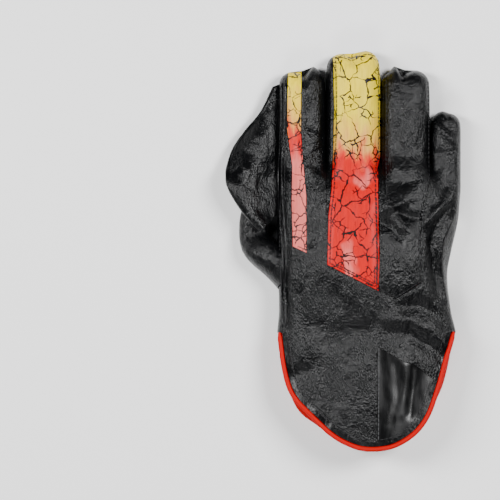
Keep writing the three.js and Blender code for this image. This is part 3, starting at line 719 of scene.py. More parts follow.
def body_form(fine, margin=0.0):
    step = 1.5 if fine else 6

    def wider(section):
        return shrunk(section, -margin, -margin, 0)

    def sloped(y):
        past = smooth((y - root_y) / 15)
        return shrunk(wider(hand_section(min(y, root_y))), 1.5 * past, 11 * past, 0)

    rows = np.arange(y_at(open_along), root_y + (15 if fine else 0), step)
    form = hand_form("hand", rows, sloped, 170 if fine else 48, fine)
    for finger in FINGERS:
        sides = 84 if fine else 24
        combine(form, finger_form(finger, wider, sides, -margin, step, fine), "UNION")
    if fine:
        ease(form.data, root_y - 3, 13, 26)
    return form


def hollow_section(y):
    padded = smooth((along_at(y) + 0.02) / -0.08)
    return shrunk(hand_section(y), side_wall, back_wall, lerp(palm_wall, front_pad, padded))


def hollow_form():
    rows = [y_at(-1.5)] + list(np.arange(y_at(open_along), y_at(0.82), 5))

    def thinner(section):
        return shrunk(section, side_wall, back_wall, palm_wall)

    form = hand_form("hollow", rows, lambda y: hollow_section(max(y, y_at(open_along))), 60, False)
    for finger in FINGERS:
        combine(form, finger_form(finger, thinner, 28, side_wall * 1.6, 4, False), "UNION")
    return form


def thumb_form(name, wall, floor, rows, sides, fine):
    line = smooth_path(plan(THUMB_LINE), 200)
    length = float(np.sum(np.linalg.norm(np.diff(line, axis=0), axis=1)))
    rings = []
    for along in rows:
        at = along * (1 - wall * 1.2 / length) * 200
        i = min(int(at), 199)
        centre = lerp(line[i], line[i + 1], at - i)
        heading = line[min(i + 3, 200)] - line[max(i - 3, 0)]
        heading = heading / np.linalg.norm(heading)
        half = curve_value(THUMB, "wide", along) * thumb_width / 2 - wall
        section = dict(
            left=-half,
            right=half,
            seam=thumb_seam,
            top=curve_value(THUMB, "high", along) * thumb_height - wall,
            floor=max(curve_value(THUMB, "low", along), 0) * thumb_seam + floor,
        )
        x, z = ring(section, sides)
        rings.append(np.stack([centre[0] + heading[1] * x, centre[1] - heading[0] * x, z], 1))
    rings = np.array(rings)
    if fine:
        flat = rings.reshape(-1, 3)
        above = smooth((flat[:, 2] - thumb_seam) / 6)
        flat[:, 2] -= above * sum(height * lumps(flat, *how) for height, *how in THUMB_LUMPS)
        rings = flat.reshape(rings.shape)
    return loft(name, rings)


def levels(low, high):
    rows = np.concatenate([np.arange(y_at(-1.4), root_y, 4), [root_y, y_at(1.8)]])
    rings = [[(-far, y, low(y)), (far, y, low(y)), (far, y, high(y)), (-far, y, high(y))] for y in rows]
    return loft("level", rings)


shell = {}


def glove_shell():
    """The hollow glove, cut into its back and front halves and its thumb."""
    if shell:
        return shell
    outer = body_form(True)
    hollow = hollow_form()
    thumb = thumb_form("thumb", 0, 0, np.linspace(0.02, 1, 60), 72, True)
    thumb_hollow = thumb_form("thumb_hollow", side_wall, palm_wall, np.linspace(0.06, 1, 16), 24, False)
    combine(hollow, thumb_hollow, "UNION")
    combine(outer, hollow, "DIFFERENCE", keep=True)
    over = levels(lambda y: seam_at(y) + gap / 2, lambda y: above_all)
    under = levels(lambda y: below_all, lambda y: seam_at(y) - gap / 2)
    shell["back"] = combine(copy_of(outer), over, "INTERSECT")
    shell["front"] = combine(outer, under, "INTERSECT")
    combine(thumb, hollow, "DIFFERENCE")
    combine(thumb, body_form(False, gap + 0.4), "DIFFERENCE")
    shell["thumb"] = thumb
    return shell


def rim_path(rows, steps):
    return smooth_path([(x * half_width, y_at(along)) for x, along in rows], steps)


def inside_rim(rim, distance):
    line = shift(rim, distance)
    below = [tuple(p) for p in line if p[1] < wrist_y - 0.2]
    path = [(line[0][0], wrist_y), *below, (line[-1][0], wrist_y)]
    return prism(path + [(far, wrist_y), (far, far), (-far, far), (-far, wrist_y)])


def rim_points(rim, is_back):
    """The piping's line round a rim, in space."""
    inset, reach = piping_width + gap, (piping_width + gap) / 2
    edge_line, centre = shift(rim, inset), shift(rim, reach)
    out = []
    for (x, y), (ex, ey) in zip(centre, edge_line):
        level = sum(level_over(section(ey), ex, is_back) for section in (hand_section, hollow_section)) / 2
        limit = reach + gap
        out.append((x, y, max(level, cuff_seam + limit) if is_back else min(level, cuff_seam - limit)))
    return np.array(out)


def trim_edge(half, rows):
    """Cuts a half of the shell at its rim into its binding band and the rest."""
    rim = rim_path(rows, 110)
    inset = piping_width + gap
    rest = combine(copy_of(half), inside_rim(rim, inset + cuff_band_width + 0.01), "INTERSECT")
    band = combine(half, inside_rim(rim, inset), "INTERSECT")
    combine(band, inside_rim(rim, inset + cuff_band_width), "DIFFERENCE")
    combine(band, prism([(-far, wrist_y), (far, wrist_y), (far, far), (-far, far)]), "DIFFERENCE")
    return band, rest


def inlay(field, outlines):
    pieces = []
    for outline in outlines:
        pieces.append(combine(copy_of(field), prism(grow(outline, -gap / 2)), "INTERSECT"))
        combine(field, prism(grow(outline, gap / 2)), "DIFFERENCE")
    return pieces + [field]


def evened(values, reach):
    """Running means over the neighbours within reach."""
    count = 2 * reach + 1
    return np.convolve(np.pad(values, reach, mode="edge"), np.ones(count) / count, mode="valid")


def tube(name, points, width, sides=10, taper=0):
    """A round cord along points, in millimetres."""
    p = np.asarray(points, float)
    tangent = np.gradient(p, axis=0)
    tangent /= np.linalg.norm(tangent, axis=1)[:, None]
    rings = []
    for i, (at, t) in enumerate(zip(p, tangent)):
        side = np.cross(t, (0, 0, 1))
        side /= np.linalg.norm(side)
        up = np.cross(side, t)
        near_end = min(i, len(p) - 1 - i)
        radius = width / 2 * (1 if near_end >= taper else 0.55 + 0.45 * near_end / max(taper, 1))
        turn = np.arange(sides) / sides * 2 * math.pi
        rings.append(at + radius * (np.cos(turn)[:, None] * side + np.sin(turn)[:, None] * up))
    return loft(name, rings)


made = {}


def finish(obj, name, material, nodes, crease=38):
    """Names, smooths and paints a piece and says which solid it stands for."""
    obj.name = name
    obj.data.name = name
    mesh = obj.data
    mesh.polygons.foreach_set("use_smooth", [True] * len(mesh.polygons))
    mesh.set_sharp_from_angle(angle=math.radians(crease))
    mesh.materials.clear()
    mesh.materials.append(material)
    mesh.polygons.foreach_set("material_index", [0] * len(mesh.polygons))
    mesh.update()
    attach(obj, "root")
    if nodes:
        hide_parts(*nodes)
    made[nodes[0] if nodes else name] = obj


def dress(obj, node, look, crease=38):
    """Finishes the piece that stands for one solid."""
    finish(obj, node + "_soft", finish_of(look), (node,), crease)


# Finishes.


def shader(name):
    material = bpy.data.materials.new(name)
    material.use_nodes = True
    tree = material.node_tree
    return material, tree, tree.nodes["Principled BSDF"]


def connect(tree, value, socket):
    if isinstance(value, bpy.types.NodeSocket):
        tree.links.new(value, socket)
    else:
        socket.default_value = value


def fill(tree, node, **inputs):
    """Sets or links inputs of a node by their names, with an underscore for a space."""
    for key, value in inputs.items():
        connect(tree, value, node.inputs[key.replace("_", " ")])


def add(tree, kind, **values):
    """Adds a node: its settings have lower-case names, and its inputs begin with a capital."""
    node = tree.nodes.new(kind)
    for key, value in values.items():
        if key[0].islower():
            setattr(node, key, value)
    fill(tree, node, **{key: value for key, value in values.items() if key[0].isupper()})
    return node


def place(tree, stretch=(1, 1, 1)):
    where = add(tree, "ShaderNodeTexCoord").outputs["Object"]
    return add(tree, "ShaderNodeMapping", Scale=stretch, Vector=where).outputs["Vector"]


def numbers(tree, operation, *values):
    node = add(tree, "ShaderNodeMath", operation=operation)
    for value, socket in zip(values, node.inputs):
        connect(tree, value, socket)
    return node.outputs[0]


def vectors(tree, operation, *values):
    node = add(tree, "ShaderNodeVectorMath", operation=operation)
    for value, socket in zip(values, node.inputs):
        connect(tree, value, socket)
    return node.outputs["Value" if operation == "LENGTH" else "Vector"]


def parts(tree, vector):
    """The x, y and z of a vector."""
    return add(tree, "ShaderNodeSeparateXYZ", Vector=vector).outputs


def noise_node(tree, vector, scale, detail=3.0, rough=0.5, output="Fac"):
    node = add(tree, "ShaderNodeTexNoise", Vector=vector, Scale=scale, Detail=detail, Roughness=rough)
    return node.outputs[output]


def cells(tree, vector, scale, feature="F1", randomness=1.0, dimensions="3D"):
    node = add(tree, "ShaderNodeTexVoronoi", feature=feature, voronoi_dimensions=dimensions)
    fill(tree, node, Vector=vector, Scale=scale, Randomness=randomness)
    return node.outputs["Distance"]


def ranged(tree, value, low, high, to_low, to_high):
    node = add(tree, "ShaderNodeMapRange", interpolation_type="SMOOTHSTEP", Value=value)
    fill(tree, node, From_Min=low, From_Max=high, To_Min=to_low, To_Max=to_high)
    return node.outputs["Result"]


def blend_colour(tree, factor, a, b):
    node = add(tree, "ShaderNodeMix", data_type="RGBA")
    connect(tree, factor, node.inputs[0])
    for value, socket in ((a, node.inputs[6]), (b, node.inputs[7])):
        connect(tree, value if isinstance(value, bpy.types.NodeSocket) else (*value[:3], 1), socket)
    return node.outputs[2]


def bump(tree, principled, *heights):
    """Chains bumps: each height has a strength and a depth in metres."""
    last = {}
    for height, strength, depth in heights:
        node = add(tree, "ShaderNodeBump", Height=height, Strength=strength, Distance=depth, **last)
        last = dict(Normal=node.outputs["Normal"])
    fill(tree, principled, **last)


def shades(colour, low, high):
    return tuple(c * low for c in colour[:3]), tuple(min(c * high, 1) for c in colour[:3])


def leather_grain(tree):
    streaks = noise_node(tree, place(tree, (1, 0.28, 1)), 620, 4, 0.6)
    pebbles = cells(tree, place(tree, (1, 0.6, 1)), 1000)
    rolls = noise_node(tree, place(tree, (1, 0.5, 1)), 150)
    return streaks, pebbles, rolls


def leather(name, colour, roughness, strength=1.0):
    material, tree, principled = shader(name)
    streaks, pebbles, rolls = leather_grain(tree)
    patchy = noise_node(tree, place(tree), 45)
    paint = blend_colour(tree, streaks, *shades(colour, 0.5, 1.7))
    rough = ranged(tree, patchy, 0.3, 0.7, roughness - 0.06, roughness + 0.06)
    fill(tree, principled, Base_Color=paint, Roughness=rough, Specular_IOR_Level=0.2)
    grains = (streaks, 0.7 * strength, 0.001), (pebbles, 0.6 * strength, 0.0004)
    bump(tree, principled, (rolls, 0.5, 0.002), *grains)
    return material


def vinyl(name, colour):
    material, tree, principled = shader(name)
    rub = noise_node(tree, place(tree, (1, 0.18, 1)), 210, 5, 0.7)
    rolls = noise_node(tree, place(tree, (1, 0.4, 1)), 70)
    scuff = ranged(tree, rub, 0.6, 0.74, 0, 1)
    paint = blend_colour(tree, scuff, *shades(colour, 0.8, 3.2))
    rough = ranged(tree, rub, 0.4, 0.75, 0.27, 0.5)
    fill(tree, principled, Base_Color=paint, Roughness=rough, Specular_IOR_Level=0.24)
    fine_grain = cells(tree, place(tree), 1500)
    bump(tree, principled, (rolls, 0.15, 0.0015), (rub, 0.1, 0.0004), (fine_grain, 0.1, 0.0002))
    return material


def crackle_lines(tree):
    """Uneven lines between large cells, with smaller cells in some patches."""
    flat = place(tree, (1, 1, 0))
    sway = noise_node(tree, flat, 95, 4, output="Color")
    moved = vectors(tree, "MULTIPLY_ADD", sway, (0.011, 0.011, 0.0), flat)
    wide = ranged(tree, noise_node(tree, place(tree), 120, 2), 0.36, 0.58, 0.01, 0.035)
    narrow = ranged(tree, noise_node(tree, place(tree), 75, 1), 0.5, 0.58, 0.0, 0.055)
    lines = [
        numbers(tree, "LESS_THAN", cells(tree, moved, scale, "DISTANCE_TO_EDGE", dimensions="2D"), width)
        for scale, width in ((66, wide), (140, narrow))
    ]
    return numbers(tree, "MAXIMUM", *lines)


def crackle(name, colours, line):
    """A printed crackle that goes from yellow at the fingertips to red at the knuckles."""
    material, tree, principled = shader(name)
    lines = crackle_lines(tree)
    x, y, _ = parts(tree, place(tree))
    edge_noise = ranged(tree, noise_node(tree, place(tree, (1, 0.35, 1)), 160), 0.25, 0.75, -0.008, 0.008)
    on_stripe = ranged(tree, x, -0.045, -0.04, 1, 0)
    drop = numbers(tree, "MULTIPLY", on_stripe, 0.018)
    height = numbers(tree, "SUBTRACT", numbers(tree, "ADD", y, edge_noise), drop)
    ramp = add(tree, "ShaderNodeValToRGB")
    connect(tree, numbers(tree, "MULTIPLY", numbers(tree, "ADD", height, 0.04), 5.0), ramp.inputs[0])
    stops = ramp.color_ramp.elements
    places = (0.0, 0.515, 0.545, 0.6, 0.72, 1.0)
    for at in places[2:]:
        stops.new(at)
    for stop, at, colour in zip(stops, places, colours):
        stop.position = at
        stop.color = (*colour[:3], 1)
    # Random pale salmon patches in the red part of the print are a painted sheen; the red part of the index
    # stripe is made pinker all over with the same colour.
    painted_highlight_patches = ranged(tree, noise_node(tree, place(tree, (1, 0.7, 1)), 42, 2), 0.55, 0.62, 0, 0.55)
    highlight_patches_and_stripe_pink = numbers(tree, "MAXIMUM", painted_highlight_patches, numbers(tree, "MULTIPLY", on_stripe, 0.6))
    highlight_and_stripe_pink_mask = numbers(tree, "MULTIPLY", highlight_patches_and_stripe_pink, ranged(tree, height, 0.045, 0.065, 1, 0))
    coloured = blend_colour(tree, highlight_and_stripe_pink_mask, ramp.outputs[0], colours[6])
    fibres = noise_node(tree, place(tree, (1, 0.12, 1)), 700)
    shade = ranged(tree, fibres, 0.3, 0.7, 0.9, 1.08)
    rubbed = add(tree, "ShaderNodeHueSaturation", Color=coloured, Value=shade)
    paint = blend_colour(tree, lines, rubbed.outputs[0], line)
    fill(tree, principled, Base_Color=paint, Roughness=0.45, Specular_IOR_Level=0.14)
    streaks, pebbles, rolls = leather_grain(tree)
    bump(tree, principled, (rolls, 0.15, 0.001), (streaks, 0.2, 0.0004), (pebbles, 0.15, 0.0002))
    return material


def pimpled(name, colour, spacing):
    """Rubber facing with rows of small pimples in a honeycomb."""
    material, tree, principled = shader(name)
    pitch, row = 1000 / spacing, math.sqrt(3)
    one = place(tree, (pitch, pitch / row, 0.0))
    two = vectors(tree, "ADD", one, (0.5, 0.5, 0))
    rounds = []
    for vector in (one, two):
        turned = vectors(tree, "FRACTION", vector)
        centred = vectors(tree, "MULTIPLY_ADD", turned, (1, row, 0), (-0.5, -row / 2, 0))
        rounds.append(vectors(tree, "LENGTH", centred))
    nearest = numbers(tree, "MINIMUM", *rounds)
    tilt = parts(tree, add(tree, "ShaderNodeNewGeometry").outputs["Normal"])[2]
    level = ranged(tree, numbers(tree, "ABSOLUTE", tilt), 0.35, 0.7, 0, 1)
    height = numbers(tree, "MULTIPLY", ranged(tree, nearest, 0.12, 0.42, 1, 0), level)
    mottle = noise_node(tree, place(tree), 60, 4)
    # The colour is lighter on the pimple tops where the mottle is high, and darker between the pimples.
    paint = blend_colour(tree, numbers(tree, "MULTIPLY", height, mottle), *shades(colour, 0.75, 1.7))
    rough = ranged(tree, mottle, 0.3, 0.7, 0.55, 0.75)
    fill(tree, principled, Base_Color=paint, Roughness=rough, Specular_IOR_Level=0.2)
    bump(tree, principled, (mottle, 0.2, 0.001), (height, 0.9, 0.0007))
    return material


def faced(name, colour, roughness, scale, depth, shine=0.3):
    """A plain facing with a faint texture, for the pale patch, fabric, piping and thread."""
    material, tree, principled = shader(name)
    weave = cells(tree, place(tree), scale, "F1", 0.35)
    soft = noise_node(tree, place(tree), scale * 0.12)
    paint = blend_colour(tree, soft, *shades(colour, 0.86, 1.08))
    rough = ranged(tree, soft, 0.3, 0.7, roughness - 0.05, roughness + 0.05)
    fill(tree, principled, Base_Color=paint, Roughness=rough, Specular_IOR_Level=shine)
    bump(tree, principled, (soft, 0.15, 0.0008), (weave, 0.4, depth))
    return material


finishes = {}


def finish_of(name):
    """The glove's materials, made once from the panel's colours."""
    if not finishes:
        c = bpy.context.scene.glove_colours
        finishes["leather"] = leather("pebbled_leather", c.leather, 0.28)
        finishes["web_leather"] = leather("web_leather", c.leather, 0.29, 0.75)
        finishes["smooth"] = leather("binding_leather", c.leather, 0.3, 0.35)
        finishes["vinyl"] = vinyl("glossy_patch", c.leather)
        stops = (c.red, c.red, c.orange_red, c.tan, c.yellow, c.yellow, c.highlight_and_stripe_pink_red)
        finishes["print"] = crackle("crackle_print", stops, (0.006, 0.004, 0.004))
        finishes["rubber"] = pimpled("palm_pimples", c.rubber, 2.9)
        finishes["pale"] = faced("pale_patch", c.pale, 0.55, 700, 0.0003)
        finishes["fabric"] = faced("web_fabric", c.rubber, 0.8, 1400, 0.0004)
        finishes["red"] = faced("red_piping", c.piping, 0.5, 1300, 0.0002, 0.06)
        finishes["thread"] = faced("black_thread", (0.008, 0.008, 0.009), 0.5, 3000, 0.0002)
        finishes["pale_thread"] = faced("grey_thread", (0.05, 0.05, 0.052), 0.6, 3000, 0.0002)
    return finishes[name]


def surface_tree(names):
    """A search tree of finished pieces, to lay thread on."""
    points, faces = [], []
    for name in names:
        mesh = made[name].data
        start = len(points)
        points += [v.co.copy() for v in mesh.vertices]
        faces += [tuple(start + i for i in p.vertices) for p in mesh.polygons]
    return BVHTree.FromPolygons(points, faces)


def over_surface(tree, x, y, upwards=True):
    """The point of the surface over a plan place, in millimetres, or None."""
    start = Vector((x * MM, y * MM, 0.1 if upwards else -0.05))
    hit, normal, _, _ = tree.ray_cast(start, Vector((0, 0, -1 if upwards else 1)))
    return None if hit is None else (np.array(hit) / MM, np.array(normal))


def stitches(name, tree, paths, sizes, look):
    """Lays a row of stitches along each plan path."""
    lengths = sizes.stitch_length, sizes.stitch_space, sizes.thread_width
    length, space, width = (value / MM for value in lengths)
    points, faces = [], []
    shape = (-0.5, 0.35), (-0.38, 1), (0.38, 1), (0.5, 0.35)
    sides = 6
    for path in paths:
        p = np.asarray(path, float)
        total = float(np.sum(np.linalg.norm(np.diff(p, axis=0), axis=1)))
        count = max(int(total / (length + space)), 1)
        fine = resample(p, count * 2)
        for i in range(count):
            a, b = over_surface(tree, *fine[2 * i][:2]), over_surface(tree, *fine[2 * i + 1][:2])
            middle = over_surface(tree, *((fine[2 * i][:2] + fine[2 * i + 1][:2]) / 2))
            if a is None or b is None or middle is None:
                continue
            way = b[0] - a[0]
            span = np.linalg.norm(way)
            if span < 0.2 or span > 3 * length:
                continue
            way /= span
            up = middle[1]
            side = np.cross(way, up)
            side /= np.linalg.norm(side)
            centre = middle[0] + up * width * 0.2
            start = len(points)
            for at, size in shape:
                for k in range(sides):
                    turn = k / sides * 2 * math.pi
                    out = math.cos(turn) * side + math.sin(turn) * up * 0.8
                    points.append(centre + way * at * length + width / 2 * size * out)
            faces += ring_faces(start, len(shape), sides)
            faces.append(tuple(range(start, start + sides))[::-1])
            faces.append(tuple(range(len(points) - sides, len(points))))
    if not points:
        raise RuntimeError(f"{name}: no stitch found the surface")
    finish(new_object(name, points, faces), name, finish_of(look), ())


# The panel's settings.


class GloveColours(bpy.types.PropertyGroup):
    leather: bpy.props.FloatVectorProperty(
        name="Leather", description="Black leather", subtype="COLOR", default=(0.0012, 0.0013, 0.0016)
    )
    rubber: bpy.props.FloatVectorProperty(
        name="Rubber", description="Palm facing", subtype="COLOR", default=(0.009, 0.0095, 0.0105)
    )
    yellow: bpy.props.FloatVectorProperty(
        name="Yellow", description="Print at the fingertips", subtype="COLOR", default=(0.74, 0.56, 0.008)
    )
    tan: bpy.props.FloatVectorProperty(
        name="Tan", description="Print between yellow and red", subtype="COLOR", default=(0.66, 0.31, 0.06)
    )
    orange_red: bpy.props.FloatVectorProperty(
        name="Orange red", description="Print where the red begins", subtype="COLOR",
        default=(0.6, 0.035, 0.01)
    )
    red: bpy.props.FloatVectorProperty(
        name="Red", description="Print at the knuckles", subtype="COLOR", default=(0.5, 0.002, 0.0015)
    )
    # Colour of the painted sheen patches on the red print, and of the pinker red part of the index stripe.
    highlight_and_stripe_pink_red: bpy.props.FloatVectorProperty(
        name="Faded red", description="Rubbed places of the red print", subtype="COLOR",
        default=(0.76, 0.2, 0.17)
    )
    pale: bpy.props.FloatVectorProperty(
        name="Pale patch", description="Patch on the palm", subtype="COLOR", default=(0.8, 0.79, 0.77)
    )
    piping: bpy.props.FloatVectorProperty(
        name="Piping", description="Corded edge of the cuff", subtype="COLOR",
        default=(0.42, 0.0006, 0.0008)
    )


class GloveSizes(bpy.types.PropertyGroup):
    stitch_length: bpy.props.FloatProperty(
        name="Stitch", description="Length of a stitch", default=2.8 * MM, min=0.0005, unit="LENGTH"
    )
    stitch_space: bpy.props.FloatProperty(
        name="Space", description="Space between stitches", default=0.45 * MM, min=0.0002, unit="LENGTH"
    )
    thread_width: bpy.props.FloatProperty(
        name="Thread", description="Width of the thread", default=0.8 * MM, min=0.0001, unit="LENGTH"
    )


class GLOVE_OT_back(bpy.types.Operator):
    """Makes the leather of the back with its printed and plain insets"""

    bl_idname = "glove.back"
    bl_label = "Back of the glove"

    def execute(self, context):
        halves = glove_shell()
        band, rest = trim_edge(halves["back"], BACK_RIM)
        rows = (MIDDLE_PANEL, MIDDLE_STRIP, RING_PANEL, RING_STRIP, INDEX_STRIPE, GAUNTLET_PATCH)
        pieces = inlay(rest, [plan(r) for r in rows])
        looks = (
            ("middle_panel", "print", "printed_leather"),
            ("middle_strip", "leather", "black_leather"),
            ("ring_panel", "leather", "black_leather"),
            ("ring_strip", "leather", "black_leather"),
            ("index_stripe", "print", "printed_leather"),
            ("gauntlet_patch", "vinyl", "gloss_leather"),
            ("hand_back", "leather", "black_leather"),
        )
        for piece, (node, look, slot) in zip(pieces, looks):
            dress(piece, node, look)
        dress(band, "cuff_band_back", "smooth")
        return {"FINISHED"}


class GLOVE_OT_palm(bpy.types.Operator):
    """Makes the rubber palm with its patches, the wrist strip and the padded front cuff"""

    bl_idname = "glove.palm"
    bl_label = "Palm of the glove"

    def execute(self, context):
        halves = glove_shell()
        band, rest = trim_edge(halves["front"], FRONT_RIM)
        below = [(far, -far), (-far, -far)]
        strip_end, palm_end, patch, crotch = (
            [tuple(p) for p in smooth_path(plan(rows), count)]
            for rows, count in ((STRIP_END, 40), (PALM_END, 40), (PALM_PATCH, 60), (CROTCH_PATCH, 40))
        )
        patch += [(far, -0.22 * palm_length), *plan([(far / half_width, 0.16), (0.34, 0.19)])]
        pieces = inlay(rest, [strip_end + below, palm_end + below, patch, crotch])
        looks = (
            ("cuff_front", "leather", "black_leather"),
            ("wrist_strip", "leather", "black_leather"),
            ("palm_patch", "pale", "white_leather"),
            ("crotch_patch", "smooth", "black_leather"),
            ("palm_rubber", "rubber", "pimpled_rubber"),
        )
        for piece, (node, look, slot) in zip(pieces, looks):
            dress(piece, node, look)
        dress(band, "cuff_band_front", "smooth")
        return {"FINISHED"}


class GLOVE_OT_piping(bpy.types.Operator):
    """Makes the red corded edges of the two gauntlets"""

    bl_idname = "glove.piping"
    bl_label = "Piping"

    def execute(self, context):
        for node, rows, is_back in (("piping_back", BACK_RIM, True), ("piping_front", FRONT_RIM, False)):
            path = rim_points(rim_path(rows, 150), is_back)
            path[:, 2] = evened(path[:, 2], 3)
            dress(tube(node, path, piping_width + gap, 14, 3), node, "red", 60)
        return {"FINISHED"}


class GLOVE_OT_thumb(bpy.types.Operator):
    """Makes the thumb's leather back and rubber front"""

    bl_idname = "glove.thumb"
    bl_label = "Thumb"

    def execute(self, context):
        thumb = glove_shell()["thumb"]
        square = [(-far, -far), (far, -far), (far, far), (-far, far)]
        back = combine(copy_of(thumb), prism(square, low=thumb_seam + gap / 2), "INTERSECT")
        front = combine(thumb, prism(square, high=thumb_seam - gap / 2), "INTERSECT")
        dress(back, "thumb_back", "leather")
        dress(front, "thumb_front", "rubber")
        return {"FINISHED"}


web_top = index_finger["tip"] - web_drop
web_end = web_end_along * palm_length


def side_of(y):
    """The glove's left side at a level of y."""
    return min(finger_section(index_finger, y)["left"], hand_section(min(y, root_y))["left"])


def web_row(along):
    y = lerp(web_top, web_end, along)
    side = finger_section(index_finger, y)["left"] if y >= root_y else side_of(y)
    out = curve_value(WEB, "reach", along) * web_reach
    slip = curve_value(WEB, "slip", along) * (web_top - web_end)
    start = np.array((side + 1, y, seam_at(y) + web_leather))
    end = np.array((side - gap - out, y - slip, curve_value(WEB, "level", along) * web_height))
    heading = (end - start) * (1, 1, 0)
    return dict(
        start=start,
        end=end,
        heading=heading / np.linalg.norm(heading),
        crown=curve_value(WEB, "crown", along) * web_height,
    )


def web_point(row, share, drop):
    point = lerp(row["start"], row["end"], share)
    level = lerp(row["start"][2], row["end"][2], smooth(share)) + row["crown"] * math.sin(math.pi * share)
    at = Vector((point[0] / 11, point[1] / 16, 3.1))
    soft = math.sin(math.pi * min(max(share, 0), 1)) ** 0.5 if 0 < share < 1 else 0
    level += soft * (1.5 * noise.noise(at) + 0.5 * noise.noise(at * 2.7))
    return np.array((point[0], point[1], level - drop))


def web_sheet(rows, columns, over, under):
    def grid(drop):
        return [[web_point(row, share, drop) for share in np.linspace(0, 1, columns)] for row in rows]

    return sheet_mesh("web", grid(over), grid(under))


def web_fold(rows, over, under):
    def grid(depth):
        out = []
        for row in rows:
            radius, end, heading = web_fold_height / 2, row["end"], row["heading"]
            run = np.linalg.norm(row["end"] - row["start"])
            line = [web_point(row, 1 - 0.6 / run, depth)]
            for share in np.linspace(0, 1, 11):
                turn = math.pi * (0.5 - share)
                reach = (radius - depth) * math.cos(turn)
                level = end[2] - radius + (radius - depth) * math.sin(turn)
                line.append(np.array((end[0] + heading[0] * reach, end[1] + heading[1] * reach, level)))
            for part in (0.33, 0.67, 1):
                line.append(web_point(row, 1 - web_flap_length * part / run, web_fold_height - depth))
            out.append(line)
        return out

    return sheet_mesh("fold", grid(over), grid(under))


def web_crotch():
    """The foot of the web's fabric, sunk between the thumb and the side of the hand."""

    def grid(drop):
        out = []
        for y in np.linspace(crotch_near, crotch_tip, 16):
            sag = crotch_sag * math.sin(math.pi * (y - crotch_near) / (crotch_tip - crotch_near))
            row = []
            for x in np.linspace(crotch_left, crotch_right, 12):
                dip = sag * math.sin(math.pi * (x - crotch_left) / (crotch_right - crotch_left))
                row.append((x, y, crotch_level - drop - dip))
            out.append(row)
        return out

    return sheet_mesh("crotch", grid(0), grid(web_fabric))


class GLOVE_OT_web(bpy.types.Operator):
    """Makes the web between the index finger and the thumb, folded back at its lower edge"""

    bl_idname = "glove.web"
    bl_label = "Web"

    def execute(self, context):
        steps, fold_step = 96, 66
        rows = [web_row(i / steps) for i in range(steps + 1)]
        fabric_top = web_leather + gap
        fabric_end = fabric_top + web_fabric
        for node, over, under, look, slot in (
            ("web_back", 0, web_leather, "web_leather", "black_leather"),
            ("web_front", fabric_top, fabric_end, "fabric", "black_fabric"),
        ):
            leaf = web_sheet(rows, 36, over, under)
            combine(leaf, web_fold(rows[fold_step:], over, under), "UNION")
            if node == "web_front":
                combine(leaf, web_crotch(), "UNION")
            dress(leaf, node, look, 50)
        bound = rows[: fold_step + 2]
        across = np.linspace(0, 1, 7)

        def grid(side):
            out = []
            for row in bound:
                thick = (fabric_end + 2 * gap) / 2
                line = []
                for share in across:
                    reach = share * (web_binding_width + gap) - 0.1
                    swell = math.sqrt(max(1 - (2 * share - 1) ** 2, 0)) * 0.5 + 0.5
                    level = row["end"][2] + gap - thick + side * thick * swell
                    line.append((*(row["end"][:2] + row["heading"][:2] * reach), level))
                out.append(line)
            return out

        dress(sheet_mesh("binding", grid(1), grid(-1)), "web_binding", "smooth", 60)
        return {"FINISHED"}


def inset_path(rows, distance, low=-1e9, high=1e9):
    """The outline of an inset moved in by a distance, kept between two levels of y."""
    path = grow(plan(rows), -distance)
    return [p for p in resample(np.concatenate([path, path[:1]]), 400) if low < p[1] < high]


def runs(points, jump=4.0):
    """Splits points into runs without large jumps."""
    out, run = [], [points[0]]
    for a, b in zip(points, points[1:]):
        if np.linalg.norm(np.asarray(b) - np.asarray(a)) > jump:
            out.append(run)
            run = []
        run.append(b)
    return [r for r in out + [run] if len(r) > 3]


class GLOVE_OT_welts(bpy.types.Operator):
    """Lays the two rolled seams along the left side of the hand"""

    bl_idname = "glove.welts"
    bl_label = "Side seams"

    def execute(self, context):
        tree = surface_tree(["hand_back", "web_back", "thumb_back"])
        line = ((-66.4, 125), (-66.6, 100), (-68.6, 60), (-67.8, 30), (-65.8, 0), (-66.2, -30), (-66, -58))
        for name, aside in (("left_welt", 0), ("right_welt", 2.6)):
            path = []
            for x, y in smooth_path(line, 120):
                hit = over_surface(tree, x + aside, y)
                if hit is not None:
                    path.append(hit[0])
            path = np.array(path)
            path[:, 2] = evened(path[:, 2], 5) - 0.1
            finish(tube(name, path, 2.2, 10, 2), name, finish_of("smooth"), (), 60)
        return {"FINISHED"}


